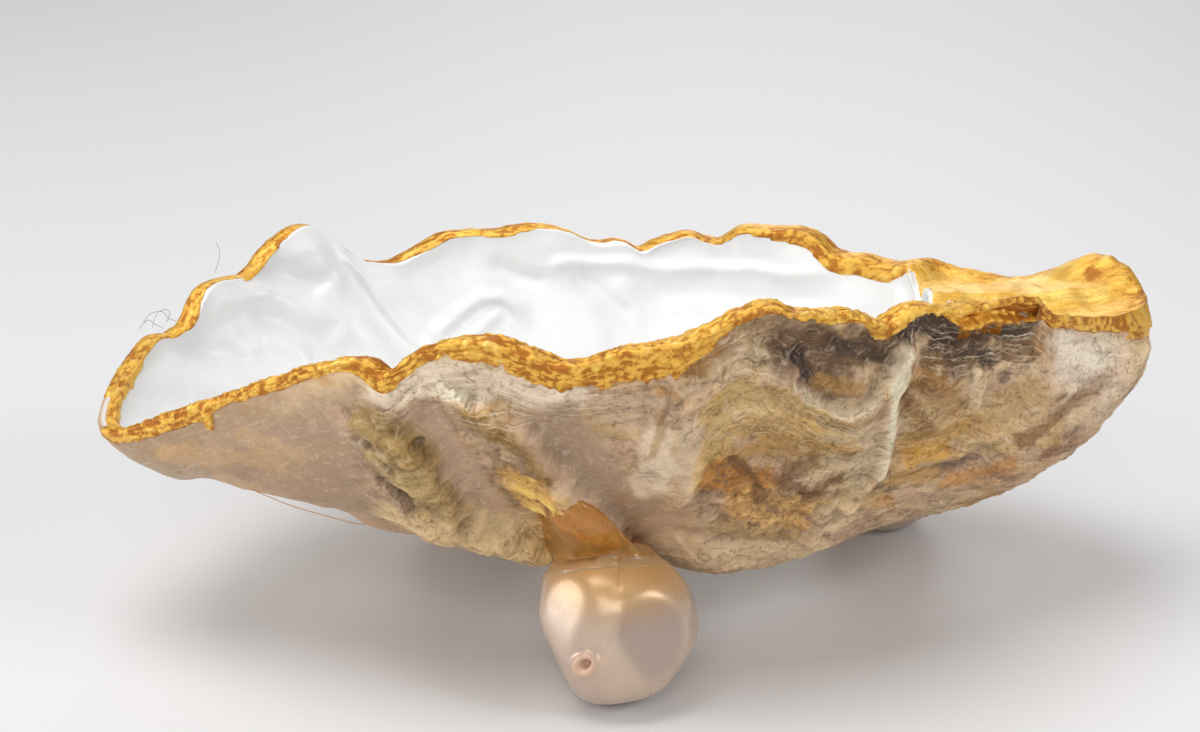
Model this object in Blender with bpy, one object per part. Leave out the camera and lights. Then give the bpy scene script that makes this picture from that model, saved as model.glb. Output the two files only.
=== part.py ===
"""Oyster shell trinket dish: one cupped oyster valve that stands on three baroque pearls.

Run with blender --background --python part.py, or from Blender's text editor. Units are metres and
+Z is up. +X runs to the hinge end, -X to the thin lip and -Y to the front. The origin is on the
ground, under the middle of the dish. Lists of points are in millimetres, and MM turns them to metres.
"""

import math

import bmesh
import bpy
import numpy as np
from mathutils import Vector
from mathutils.bvhtree import BVHTree

MM = 0.001

# Driving dimensions, in millimetres.
BELLY = (8.0, 0.0, 6.0)  # lowest point of the shell's outside
WALL = 2.4  # shell wall at the belly
LIP_WALL = 1.6  # shell wall at the thin lip
HINGE_LINE = 27.5  # where the hollow ends and the solid hinge shelf begins
CORNER = 25.0  # sharpness of the corners where the hollow's edge meets the shelf
HINGE_LEAN = -0.12  # how far the end of the hollow leans, X per Y
SHELF_HEIGHT = 31.6  # height of the hinge shelf on its centre line
SHELF_TILT = -0.19  # rise of the shelf towards the back
SHELF_BLEND = 0.2  # share of a spoke over which the hollow's edge takes the shelf's height
UNDERCUT = 0.75  # how far the hollow runs on under the shelf, as a share of the shelf
LIP_ZONE = (-8.0, -46.0)  # X over which the cup goes from the belly's form to the lip's
HINGE_ZONE = (22.0, 46.0)  # X over which the cup goes from the belly's form to the hinge's
THIN_ZONE = (-10.0, -44.0)  # X over which the wall thins to the lip
FLATNESS = (2.4, 1.5, 1.6)  # how flat the cup's bottom is: at the belly, the lip and the hinge
SHOULDER = (0.7, 0.48, 0.27)  # how round the cup's wall is there: a lower value is a steeper edge
FOLD_WIDTH = 0.045  # length of rim that is ironed out near the belly, as a share of one turn
RIB_SHOW = 0.6  # how much of the ribs shows inside the hollow
RIB_SIDE = (-4.0, -12.0)  # Y over which the ribs rise out of the underside
RIB_END = (0.86, 1.0)  # reach over which the ribs die out below the rim
SHELF_DROP = 0.8  # least drop from the rim to the shelf
LIP_CROWN = 0.2  # how far the rounded edge stands over the rim line
GLUE_GAP = 0.3  # clearance between touching pieces
GLUE_THICK = 3.4  # most glue between a pearl and the shell
GLUE_SPREAD = 0.95  # angle from the glue's axis to its edge, in radians

# The rim, once round from the lip's near corner: near side, hinge beak, far side, lip.
RIM = (
    (-47.5, -13.0, 23.2),
    (-42.0, -16.0, 26.4),
    (-35.0, -19.5, 30.0),
    (-28.5, -22.2, 32.9),
    (-24.5, -23.5, 34.1),
    (-22.0, -24.0, 33.1),
    (-18.5, -25.0, 35.2),
    (-13.5, -26.0, 36.7),
    (-10.0, -26.4, 36.0),
    (-6.6, -26.5, 35.0),
    (-2.0, -26.6, 36.0),
    (3.0, -26.4, 37.0),
    (6.6, -25.7, 38.6),
    (10.7, -25.0, 39.5),
    (13.4, -24.0, 38.5),
    (18.5, -22.0, 37.4),
    (21.5, -20.4, 36.6),
    (24.5, -19.0, 37.4),
    (28.5, -17.0, 36.4),
    (33.0, -14.2, 36.4),
    (35.8, -12.2, 35.6),
    (38.0, -10.4, 33.6),
    (41.5, -7.5, 32.2),
    (45.5, -3.5, 31.0),
    (49.0, 1.5, 29.8),
    (50.4, 5.5, 30.4),
    (49.6, 9.0, 32.0),
    (47.2, 11.6, 32.7),
    (45.4, 13.2, 31.6),
    (43.6, 14.6, 29.9),
    (39.5, 17.4, 28.4),
    (34.5, 19.8, 28.8),
    (31.5, 21.0, 29.3),
    (29.0, 22.0, 28.6),
    (25.6, 23.2, 29.2),
    (22.8, 24.1, 29.2),
    (19.8, 25.2, 31.3),
    (15.5, 26.0, 31.6),
    (12.0, 26.4, 31.4),
    (9.5, 26.5, 30.0),
    (6.2, 26.6, 30.7),
    (2.6, 26.5, 30.0),
    (0.5, 26.5, 29.1),
    (-1.6, 26.5, 29.8),
    (-5.0, 26.4, 29.9),
    (-10.0, 26.3, 31.7),
    (-15.5, 26.2, 31.0),
    (-20.5, 25.8, 30.8),
    (-26.4, 24.8, 28.1),
    (-31.0, 23.8, 28.5),
    (-33.6, 22.8, 31.2),
    (-35.8, 21.6, 32.9),
    (-38.6, 18.8, 31.7),
    (-41.0, 15.2, 29.4),
    (-42.4, 13.8, 29.4),
    (-44.0, 11.6, 29.6),
    (-45.0, 9.4, 28.7),
    (-45.8, 7.4, 26.7),
    (-47.2, 5.8, 26.2),
    (-48.6, 3.8, 26.3),
    (-50.1, -2.0, 24.9),
    (-50.5, -7.5, 23.8),
    (-50.0, -10.6, 22.8),
)

# Ribs on the outside: points across the front (X, Z), half width and height. A negative height
# is a valley or a hollow.
FRONT_RIBS = (
    (((-22.5, 30.5), (-19.5, 25.0), (-16.0, 19.0), (-13.5, 14.0)), 2.3, 1.1),
    (((-18.0, 30.0), (-13.5, 24.0), (-10.5, 19.0), (-8.5, 14.5)), 2.4, -1.2),
    (((-13.5, 29.5), (-8.5, 26.5), (-6.0, 22.0), (-3.0, 17.5)), 2.3, 1.7),
    (((-5.5, 30.0), (-1.5, 25.5), (2.0, 20.0), (4.5, 15.0)), 2.8, -1.0),
    (((6.0, 31.0), (9.0, 34.0), (13.5, 31.5), (17.0, 28.5), (22.0, 31.5), (23.5, 35.0)), 1.5, 0.9),
    (((14.5, 34.0), (19.5, 32.5)), 2.6, -1.6),
    (((21.5, 28.5), (22.3, 24.5), (22.0, 20.5)), 1.4, 1.1),
    (((-33.0, 14.0), (-27.5, 12.0)), 3.5, -1.2),
    (((-17.5, 11.5), (-9.0, 9.5)), 3.0, 1.0),
    (((7.0, 10.0), (11.0, 9.5), (17.0, 11.0)), 4.6, 2.0),
)

# Each foot: name, where the pearl stands (X, Y), radius and turn about its own upright axis.
FEET = (
    ("front", (-1.9, -20.2), 7.1, 0.0),
    ("rear_left", (-15.5, 18.4), 6.9, 2.3),
    ("rear_right", (27.3, 18.0), 6.8, 4.1),
)

SEAT_PLACE = (1.0, 0.78)  # where a pearl's seat is, as shares of where the pearl stands
SEAT_DEPTH = 1.0  # how deep the shell is worn where a pearl is glued
SEAT_WIDTH = 4.5

TURNS = 84  # facets round the shell
OUTER_RINGS = 15
SHELF_RINGS = 3
INNER_RINGS = 12
GLUE_RINGS = 4
GLUE_TURNS = 18
PEARL_TURNS = 24
PEARL_RINGS = 14
FACE_CUT = 0.35  # how much of each pearl is worn away where it stands
PEARL_WAVES = ((1.0, -0.6, 0.05), (2.0, 0.8, 0.03))  # waves round a pearl: count, phase, height
PEARL_TAPER = 0.03  # how much narrower a pearl is at its top
CURVE_STEPS = 16  # points between two knots of the rim when its length is measured
GLUE_DOME = 0.8  # how much thinner the glue is at its edge, as a share

CHALK = (0.62, 0.53, 0.42, 1.0)
PEARL = (0.83, 0.77, 0.71, 1.0)
AMBER = (0.72, 0.45, 0.20, 0.8)


def smooth(low, high, value):
    """Ramp from 0 at low to 1 at high, with flat ends."""
    part = np.clip((value - low) / (high - low), 0.0, 1.0)
    return part * part * (3.0 - 2.0 * part)


def closed_curve(knots, turns):
    """Points at even steps along a smooth closed curve through the knots."""
    knots = np.array(knots, float)
    before, after, later = np.roll(knots, 1, 0), np.roll(knots, -1, 0), np.roll(knots, -2, 0)
    steps = np.linspace(0.0, 1.0, CURVE_STEPS, endpoint=False)[None, :, None]
    a, b, c, d = (k[:, None, :] for k in (before, knots, after, later))
    fine = b + 0.5 * steps * (c - a + steps * (2 * a - 5 * b + 4 * c - d + steps * (3 * (b - c) + d - a)))
    fine = fine.reshape(-1, 3)
    fine = np.vstack([fine, fine[:1]])
    along = np.concatenate([[0.0], np.cumsum(np.linalg.norm(np.diff(fine, axis=0), axis=1))])
    wanted = np.linspace(0.0, along[-1], turns, endpoint=False)
    return np.stack([np.interp(wanted, along, fine[:, i]) for i in range(3)], axis=1)


def distance_to_line(points, line):
    """Distance of each point from a broken line, both in the plane."""
    best = np.full(points.shape[:-1], np.inf)
    for start, end in zip(line[:-1], line[1:]):
        start, end = np.array(start), np.array(end)
        run = end - start
        share = np.clip(((points - start) @ run) / (run @ run), 0.0, 1.0)
        best = np.minimum(best, np.linalg.norm(points - start - share[..., None] * run, axis=-1))
    return best


def soft_rim(rim):
    """The rim with its folds ironed out."""
    away = np.minimum(np.arange(TURNS), TURNS - np.arange(TURNS)) / TURNS
    weight = np.exp(-((away / FOLD_WIDTH) ** 2))
    blur = np.fft.fft(weight / weight.sum())[:, None]
    return np.real(np.fft.ifft(np.fft.fft(rim, axis=0) * blur, axis=0))


def along_shell(values, rim):
    """A value for each turn of the rim, from its values at the belly, the lip and the hinge."""
    middle, lip, hinge = values
    value = middle + (lip - middle) * smooth(*LIP_ZONE, rim[:, 0])
    return value + (hinge - middle) * smooth(*HINGE_ZONE, rim[:, 0])


def cup(rim, belly, reach):
    """A cup under a rim. reach is 0 at the belly and 1 at the rim, and folds fade to the belly."""
    fade = (reach**2)[:, None, None]
    edge = rim * fade + soft_rim(rim) * (1.0 - fade)
    belly = np.array(belly)
    across = np.sin(reach * math.pi / 2)[:, None]
    flat = along_shell(FLATNESS, rim)
    shoulder = along_shell(SHOULDER, rim)
    rise = 1.0 - (1.0 - across**flat) ** shoulder
    place = belly[:2] + (edge[..., :2] - belly[:2]) * across[..., None]
    height = belly[2] + (edge[..., 2] - belly[2]) * rise
    return np.concatenate([place, height[..., None]], axis=2)


def outward(grid):
    """Unit normals of a grid of points, rings by turns. Its first ring is all one point, the belly."""
    along = np.roll(grid, -1, 1) - np.roll(grid, 1, 1)
    up = np.gradient(grid, axis=0)
    normal = np.cross(along, up)
    normal[0] = (0.0, 0.0, -1.0)
    return normal / np.linalg.norm(normal, axis=2, keepdims=True)


def rib_lift(grid, reach):
    """How far the ribs stand out of the front wall at each point."""
    front = smooth(*RIB_SIDE, grid[..., 1]) * (1.0 - smooth(*RIB_END, reach))[:, None]
    lift = np.zeros(grid.shape[:2])
    for line, half_width, height in FRONT_RIBS:
        away = distance_to_line(grid[..., [0, 2]], line)
        lift += height * np.exp(-((away / half_width) ** 2)) * front
    return lift


def outer_skin(rim):
    """The outside of the shell, with its ribs, from the belly up to the rim."""
    reach = np.linspace(0.0, 1.0, OUTER_RINGS + 1)
    grid = cup(rim, BELLY, reach)
    lift = rib_lift(grid, reach)
    for _, stand, _, _ in FEET:
        away = np.linalg.norm(grid[..., :2] - np.array(stand) * SEAT_PLACE, axis=2)
        lift -= SEAT_DEPTH * np.exp(-((away / SEAT_WIDTH) ** 2))
    return grid + outward(grid) * lift[..., None]


def shelf_height(place):
    """Height of the hinge shelf at each place."""
    return SHELF_HEIGHT + SHELF_TILT * place[..., 1]


def hollow_rim(rim):
    """The edge of the hollow: the rim set in by the wall, and cut short at the hinge shelf.

    With it come how much each turn is on the shelf, and the length of its spoke that the shelf
    takes, as a share of the length that the hollow has.
    """
    spoke = rim[:, :2] - np.array(BELLY[:2])
    length = np.linalg.norm(spoke, axis=1, keepdims=True)
    wall = WALL + (LIP_WALL - WALL) * smooth(*THIN_ZONE, rim[:, :1])
    inset = 1.0 - wall / length
    run = spoke[:, :1] - HINGE_LEAN * spoke[:, 1:]
    cut = (HINGE_LINE - BELLY[0]) / np.maximum(run, 1.0)
    share = -np.log(np.exp(-CORNER * inset) + np.exp(-CORNER * cut)) / CORNER
    edge = rim.copy()
    edge[:, :2] = BELLY[:2] + spoke * share
    on_shelf = smooth(0.0, SHELF_BLEND, (inset - share)[:, 0])
    edge[:, 2] += (np.minimum(shelf_height(edge), rim[:, 2]) - edge[:, 2]) * on_shelf
    return edge, on_shelf, (inset / share - 1.0)[:, 0]


def shelf_rings(rim, edge, on_shelf):
    """Rings from the rim to the hollow's edge: a narrow lip, and a level shelf at the hinge."""
    shares = np.linspace(0.0, 1.0, SHELF_RINGS + 2)[1:-1, None]
    rings = rim + (edge - rim) * shares[..., None]
    level = np.minimum(shelf_height(rings), rim[:, 2] - SHELF_DROP)
    rings[..., 2] += (level - rings[..., 2]) * on_shelf
    rings[..., 2] += LIP_CROWN * np.sin(shares * math.pi) * (1.0 - on_shelf)
    return rings


def shell_rings():
    """All rings of the shell, from the outer belly, over the rim, to the floor of the hollow."""
    rim = closed_curve(RIM, TURNS)
    edge, on_shelf, covered = hollow_rim(rim)
    shelf = shelf_rings(rim, edge, on_shelf)
    reach = np.linspace(0.0, 1.0, INNER_RINGS + 1)
    hollow = cup(edge, (BELLY[0], BELLY[1], BELLY[2] + WALL), reach)
    under = UNDERCUT * np.sin(reach**2 * math.pi)[:, None] * covered
    hollow[..., :2] += (hollow[..., :2] - np.array(BELLY[:2])) * under[..., None]
    hollow += outward(hollow) * (RIB_SHOW * rib_lift(hollow, reach))[..., None]
    return np.concatenate([outer_skin(rim), shelf, hollow[::-1]])


def material(name, colour, roughness):
    """A Principled material in one colour."""
    made = bpy.data.materials.new(name)
    made.use_nodes = True
    shader = made.node_tree.nodes["Principled BSDF"]
    shader.inputs["Base Color"].default_value = colour
    shader.inputs["Roughness"].default_value = roughness
    shader.inputs["Alpha"].default_value = colour[3]
    return made


def add_part(name, ball, finish, collection):
    """Turn a finished bmesh into a smooth-shaded object of the dish."""
    mesh = bpy.data.meshes.new(name)
    ball.to_mesh(mesh)
    ball.free()
    mesh.shade_smooth()
    mesh.materials.append(finish)
    part = bpy.data.objects.new(name, mesh)
    collection.objects.link(part)
    return part


def ball_with_rings(rings):
    """A sphere whose rings of points, from the south pole to the north, are moved to new places."""
    count, turns = rings.shape[:2]
    ball = bmesh.new()
    bmesh.ops.create_uvsphere(ball, u_segments=turns, v_segments=count - 1, radius=1.0)
    for vert in ball.verts:
        ring = round(math.acos(max(-1.0, min(1.0, -vert.co.z))) / math.pi * (count - 1))
        turn = round(math.atan2(vert.co.y, vert.co.x) / math.tau * turns) % turns
        vert.co = Vector(rings[ring, turn] * MM)
    return ball


def make_shell(collection):
    """The shell: a ball whose upper half is pressed down into its lower half."""
    ball = ball_with_rings(shell_rings())
    return add_part("shell", ball, material("chalky shell", CHALK, 0.6), collection)


def pearl_size(turn, rise):
    """Radius of a baroque pearl, as a share, for a turn about its axis and a sine of elevation."""
    lobe = sum(height * math.cos(count * turn + phase) for count, phase, height in PEARL_WAVES)
    return 1.0 + lobe * math.sqrt(1.0 - rise**2) - PEARL_TAPER * rise


def make_pearl(name, stand, radius, spin, finish, collection):
    """A pearl foot, with a small worn flat where it stands."""
    ball = bmesh.new()
    bmesh.ops.create_uvsphere(ball, u_segments=PEARL_TURNS, v_segments=PEARL_RINGS, radius=1.0)
    for vert in ball.verts:
        turn = math.atan2(vert.co.y, vert.co.x) + spin
        vert.co *= radius * pearl_size(turn, vert.co.z)
    low = min(vert.co.z for vert in ball.verts) + FACE_CUT
    for vert in ball.verts:
        vert.co.z = max(vert.co.z, low) - low
        vert.co.x += stand[0]
        vert.co.y += stand[1]
        vert.co *= MM
    return add_part(f"{name}_pearl_foot", ball, finish, collection)


def make_glue(name, stand, radius, shell_tree, pearl_tree, finish, collection):
    """The glue between a pearl and the shell, cast outward from the pearl's middle."""
    middle = Vector((stand[0], stand[1], radius)) * MM
    nearest = shell_tree.find_nearest(middle)[0]
    axis = (nearest - middle).normalized()
    side = axis.orthogonal().normalized()
    other = axis.cross(side)
    rings = []
    spread = np.linspace(0.0, GLUE_SPREAD, GLUE_RINGS + 1)
    for level, angle in enumerate(np.concatenate([spread, spread[::-1]])):
        ring = []
        for turn in np.linspace(0.0, math.tau, GLUE_TURNS, endpoint=False):
            way = axis * math.cos(angle)
            way += (side * math.cos(turn) + other * math.sin(turn)) * math.sin(angle)
            near = pearl_tree.ray_cast(middle, way)[3] + GLUE_GAP * MM
            over = shell_tree.ray_cast(middle, way)[3]
            thick = GLUE_THICK * MM * (1.0 - GLUE_DOME * (angle / GLUE_SPREAD) ** 2)
            far = near + thick if over is None else min(over - GLUE_GAP * MM, near + thick)
            reach = near if level <= GLUE_RINGS else far
            ring.append((middle + way * reach) / MM)
        rings.append(ring)
    ball = ball_with_rings(np.array(rings))
    return add_part(f"{name}_glue_pad", ball, finish, collection)


def tree_of(part):
    """A search tree of a part's faces."""
    shape = bmesh.new()
    shape.from_mesh(part.data)
    tree = BVHTree.FromBMesh(shape)
    shape.free()
    return tree


def main():
    """Clear the scene and build the dish."""
    for old in list(bpy.data.objects):
        bpy.data.objects.remove(old, do_unlink=True)
    collection = bpy.data.collections.new("oyster_dish")
    bpy.context.scene.collection.children.link(collection)
    pearly = material("pearl", PEARL, 0.25)
    amber = material("amber glue", AMBER, 0.15)
    shell_tree = tree_of(make_shell(collection))
    for name, stand, radius, spin in FEET:
        pearl = make_pearl(name, stand, radius, spin, pearly, collection)
        make_glue(name, stand, radius, shell_tree, tree_of(pearl), amber, collection)


main()
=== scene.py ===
"""Looks of the oyster trinket dish: a painted and gilded oyster shell on three baroque pearls.

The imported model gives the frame, and this script gives every surface its finish. +X runs to the
hinge end, -X to the thin lip, -Y is the front and +Z is up. Sizes are in millimetres, and MM turns
them to metres when a mesh is made. The shell's own shape follows the same rim and the same cup as
the model, at a finer grain: growth ribs, thin layers, crust and pits outside, a coat of white
paint inside, and a thick coat of gold paint over the rim and the hinge shelf.
"""

from __future__ import annotations

import logging
import math
from dataclasses import dataclass, field
from enum import Enum

import bmesh
import bpy
import numpy as np
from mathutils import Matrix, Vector
from mathutils.bvhtree import BVHTree

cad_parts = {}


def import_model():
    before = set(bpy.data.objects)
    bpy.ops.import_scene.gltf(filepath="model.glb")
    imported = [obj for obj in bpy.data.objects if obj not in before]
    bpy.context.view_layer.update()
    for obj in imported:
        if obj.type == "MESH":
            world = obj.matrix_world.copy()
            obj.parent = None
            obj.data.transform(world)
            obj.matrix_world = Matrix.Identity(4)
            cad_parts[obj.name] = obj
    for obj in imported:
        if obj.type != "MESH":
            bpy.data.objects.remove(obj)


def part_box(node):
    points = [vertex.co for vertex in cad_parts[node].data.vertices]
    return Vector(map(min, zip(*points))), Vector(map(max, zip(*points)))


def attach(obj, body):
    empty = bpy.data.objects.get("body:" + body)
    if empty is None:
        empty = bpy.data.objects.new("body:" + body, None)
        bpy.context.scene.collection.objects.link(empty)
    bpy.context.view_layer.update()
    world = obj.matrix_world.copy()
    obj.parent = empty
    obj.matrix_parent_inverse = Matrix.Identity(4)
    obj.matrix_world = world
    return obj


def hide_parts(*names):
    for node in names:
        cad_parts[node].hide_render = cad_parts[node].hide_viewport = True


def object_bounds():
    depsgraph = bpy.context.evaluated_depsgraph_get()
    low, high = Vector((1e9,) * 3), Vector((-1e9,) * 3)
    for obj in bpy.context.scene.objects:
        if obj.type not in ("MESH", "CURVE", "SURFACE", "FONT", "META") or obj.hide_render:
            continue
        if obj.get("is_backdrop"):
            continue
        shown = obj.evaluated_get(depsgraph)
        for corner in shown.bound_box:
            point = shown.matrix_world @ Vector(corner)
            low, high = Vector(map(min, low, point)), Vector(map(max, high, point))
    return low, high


LOG = logging.getLogger("oyster_dish")
MM = 0.001

Array = np.ndarray
Material = bpy.types.Material
Piece = bpy.types.Object
Colour = tuple[float, float, float]
Spot = tuple[float, float, float]
Line = tuple[tuple[float, float], ...]
Patch = tuple[Line, float, float]
Socket = bpy.types.NodeSocket
# A socket, or a plain value for one.
Feed = object


def paint(red: int, green: int, blue: int) -> Colour:
    """A colour as a paint chart gives it, from 0 to 255, turned to the linear values of a shader.

    Args:
        red: red value of the chart.
        green: green value of the chart.
        blue: blue value of the chart.

    Returns:
        The linear colour.
    """
    chart = np.array([red, green, blue]) / 255.0
    linear = np.where(chart <= 0.04045, chart / 12.92, ((chart + 0.055) / 1.055) ** 2.4)
    return tuple(float(value) for value in linear)


def smooth(low: float, high: float, value: Array) -> Array:
    """Ramp from 0 at low to 1 at high, with flat ends.

    Args:
        low: value at which the ramp is 0.
        high: value at which the ramp is 1. It may be the smaller of the two.
        value: where to read the ramp.

    Returns:
        The ramp at each value.
    """
    part = np.clip((value - low) / (high - low), 0, 1)
    return part * part * (3.0 - 2.0 * part)


def blend(first: Array, second: Array, share: Array) -> Array:
    """Mix of two colours or numbers.

    Args:
        first: what there is where share is 0.
        second: what there is where share is 1.
        share: how much of the second there is.

    Returns:
        The mix.
    """
    return first + (second - first) * share


def bell(away: Array) -> Array:
    """A bell curve: 1 at no distance, and soon 0 on both sides."""
    return np.exp(-(away**2))


def unit(ways: Array) -> Array:
    """The same directions, each of length 1, with their coordinates last."""
    return ways / np.maximum(np.linalg.norm(ways, axis=-1, keepdims=True), 1e-9)


def spline(before: Array, start: Array, end: Array, after: Array, part: Array) -> Array:
    """Points of a smooth curve between two of its knots.

    Args:
        before: the knot before the stretch.
        start: the knot at which it starts.
        end: the knot at which it ends.
        after: the knot after it.
        part: where on the stretch the points are, from 0 to 1.

    Returns:
        The points.
    """
    bend = 2 * before - 5 * start + 4 * end - after + part * (3 * (start - end) + after - before)
    return start + 0.5 * part * (end - before + part * bend)


def evened(ring: Array, width: float) -> Array:
    """A closed ring of points or numbers, averaged with its neighbours.

    Args:
        ring: the ring, one row a turn.
        width: how many turns the average reaches.

    Returns:
        The averaged ring.
    """
    away = np.minimum(np.arange(len(ring)), len(ring) - np.arange(len(ring)))
    weight = bell(away / width)
    blur = np.fft.fft(weight / weight.sum()).reshape((-1,) + (1,) * (ring.ndim - 1))
    return np.real(np.fft.ifft(np.fft.fft(ring, axis=0) * blur, axis=0))


class Grain:
    """Smooth random fields in space, the same on every run."""

    TABLE = 512

    def __init__(self, seed: int) -> None:
        """Deal out the table of directions that the fields are made from.

        Args:
            seed: number that picks the field.
        """
        dice = np.random.default_rng(seed)
        self.deal = dice.permutation(self.TABLE)
        self.ways = unit(dice.normal(size=(self.TABLE, 3)))
        self.spots = dice.random((self.TABLE, 3))

    def pick(self, cell: Array) -> Array:
        """Table index of each cell of space."""
        index = self.deal[(self.deal[cell[..., 0] % self.TABLE] + cell[..., 1]) % self.TABLE]
        return self.deal[(index + cell[..., 2]) % self.TABLE]

    def at(self, points: Array) -> Array:
        """Gradient noise with bumps one unit apart.

        Args:
            points: places to read, with X, Y and Z last.

        Returns:
            Values from about -1 to 1.
        """
        cell = np.floor(points).astype(int)
        inner = points - cell
        ease = inner**3 * (inner * (inner * 6.0 - 15.0) + 10.0)
        total = np.zeros(points.shape[:-1])
        for corner in np.ndindex(2, 2, 2):
            step = np.array(corner)
            way = self.ways[self.pick(cell + step)]
            reach = ((inner - step) * way).sum(axis=-1)
            weight = np.where(step, ease, 1 - ease).prod(axis=-1)
            total += reach * weight
        return total * 1.7

    def cloud(self, points: Array, size: float, octaves: int = 4, gain: float = 0.5) -> Array:
        """Fractal noise.

        Args:
            points: places to read.
            size: width of its largest bumps.
            octaves: how many layers of finer bumps it has.
            gain: strength of each layer against the one before.

        Returns:
            Values from about -1 to 1.
        """
        total = np.zeros(points.shape[:-1])
        strength = 1.0
        for octave in range(octaves):
            total += strength * self.at(points / size * 2.03**octave + 17.3 * octave)
            strength *= gain
        return total

    def creases(self, points: Array, size: float, octaves: int = 3, gain: float = 0.5) -> Array:
        """Fractal noise with sharp crests.

        Args:
            points: places to read.
            size: width of its largest folds.
            octaves: how many layers of finer folds it has.
            gain: strength of each layer against the one before.

        Returns:
            Values from 0 in the hollows to about 1 on the crests.
        """
        total = np.zeros(points.shape[:-1])
        strength = 1.0
        whole = 0.0
        for octave in range(octaves):
            fold = 1 - np.abs(self.at(points / size * 2.1**octave + 31.7 * octave))
            total += strength * fold**2
            whole += strength
            strength *= gain
        return total / whole

    def lumps(self, points: Array, size: float) -> Array:
        """Round lumps, packed side by side.

        Args:
            points: places to read.
            size: distance between the lumps.

        Returns:
            Values from 0 between the lumps to 1 on their tops.
        """
        place = points / size
        cell = np.floor(place).astype(int)
        nearest = np.full(points.shape[:-1], 9.0)
        for corner in np.ndindex(3, 3, 3):
            other = cell + np.array(corner) - 1
            spot = other + self.spots[self.pick(other)]
            nearest = np.minimum(nearest, ((place - spot) ** 2).sum(axis=-1))
        return np.clip(1 - np.sqrt(nearest), 0, 1)


def line_distance(points: Array, line: Line) -> tuple[Array, Array]:
    """Distance of each point from a broken line in the plane.

    Args:
        points: places, with the two plane coordinates last.
        line: corners of the line.

    Returns:
        The distance, positive on the left of the line's run, and how far along the line the
        nearest point is, from 0 to 1.
    """
    corners = np.array(line, float)
    if len(corners) == 1:
        away = np.linalg.norm(points - corners[0], axis=-1)
        return away, np.full(away.shape, 0.5)
    lengths = np.linalg.norm(np.diff(corners, axis=0), axis=1)
    walked = np.concatenate([[0.0], np.cumsum(lengths)])
    best = np.full(points.shape[:-1], np.inf)
    side = np.ones(points.shape[:-1])
    along = np.zeros(points.shape[:-1])
    for number, length in enumerate(lengths):
        run = (corners[number + 1] - corners[number]) / length
        offset = points - corners[number]
        share = np.clip(offset @ run, 0.0, length)
        away = np.linalg.norm(offset - share[..., None] * run, axis=-1)
        nearer = away < best
        turn = run[0] * offset[..., 1] - run[1] * offset[..., 0]
        best = np.where(nearer, away, best)
        side = np.where(nearer, np.where(turn >= 0.0, 1.0, -1.0), side)
        along = np.where(nearer, (walked[number] + share) / walked[-1], along)
    return best * side, along


def knotted(knots: Line, value: Array) -> Array:
    """Height of a broken line over each value, level past its ends."""
    places, heights = np.array(knots).T
    return np.interp(value, places, heights)


# The rim, once round from the lip's near corner: near side, hinge beak, far side, lip.
RIM: tuple[Spot, ...] = (
    (-47.5, -13, 23.2), (-42, -16, 26.1), (-35, -19.5, 29.65), (-28.5, -22.2, 32.6), (-24.5, -23.5, 33.75),
    (-22, -24, 32.5), (-18.5, -25, 35.35), (-13.5, -26, 36.35), (-10, -26.4, 35.15), (-6.6, -26.5, 34.35),
    (-2, -26.6, 35.4), (3, -26.4, 36.3), (6.6, -25.7, 37.75), (10.7, -25, 39), (13.4, -24, 37.9),
    (18.5, -22, 37.2), (21.5, -20.4, 35.8), (24.5, -19, 37.1), (28.5, -17, 36.2), (33, -14.2, 36.4),
    (35.8, -12.2, 35.6), (38, -10.4, 33.6), (41.5, -7.5, 32.2), (45.5, -3.5, 31), (49, 1.5, 29.8),
    (50.4, 5.5, 30.4), (49.6, 9, 32), (47.2, 11.6, 32.7), (45.4, 13.2, 31.6), (43.6, 14.6, 29.9),
    (39.5, 17.4, 28.4), (34.5, 19.8, 28.8), (31.5, 21, 29.3), (29, 22, 28.6), (25.6, 23.2, 29.2),
    (22.8, 24.1, 29.2), (19.8, 25.2, 31.3), (15.5, 26, 31.6), (12, 26.4, 31.4), (9.5, 26.5, 30),
    (6.2, 26.6, 30.7), (2.6, 26.5, 30), (0.5, 26.5, 29.1), (-1.6, 26.5, 29.8), (-5, 26.4, 29.9),
    (-10, 26.3, 31.7), (-15.5, 26.2, 31), (-20.5, 25.8, 30.8), (-26.4, 24.8, 28.1), (-31, 23.8, 28.5),
    (-33.6, 22.8, 31.2), (-35.8, 21.6, 32.9), (-38.6, 18.8, 31.7), (-41, 15.2, 29.4), (-42.4, 13.8, 29.4),
    (-44, 11.6, 29.6), (-45, 9.4, 28.7), (-45.8, 7.4, 26.7), (-47.2, 5.8, 26.2), (-48.6, 3.8, 26.3),
    (-50.1, -2, 24.9), (-50.5, -7.5, 23.8), (-50, -10.6, 22.8),
)


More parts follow.
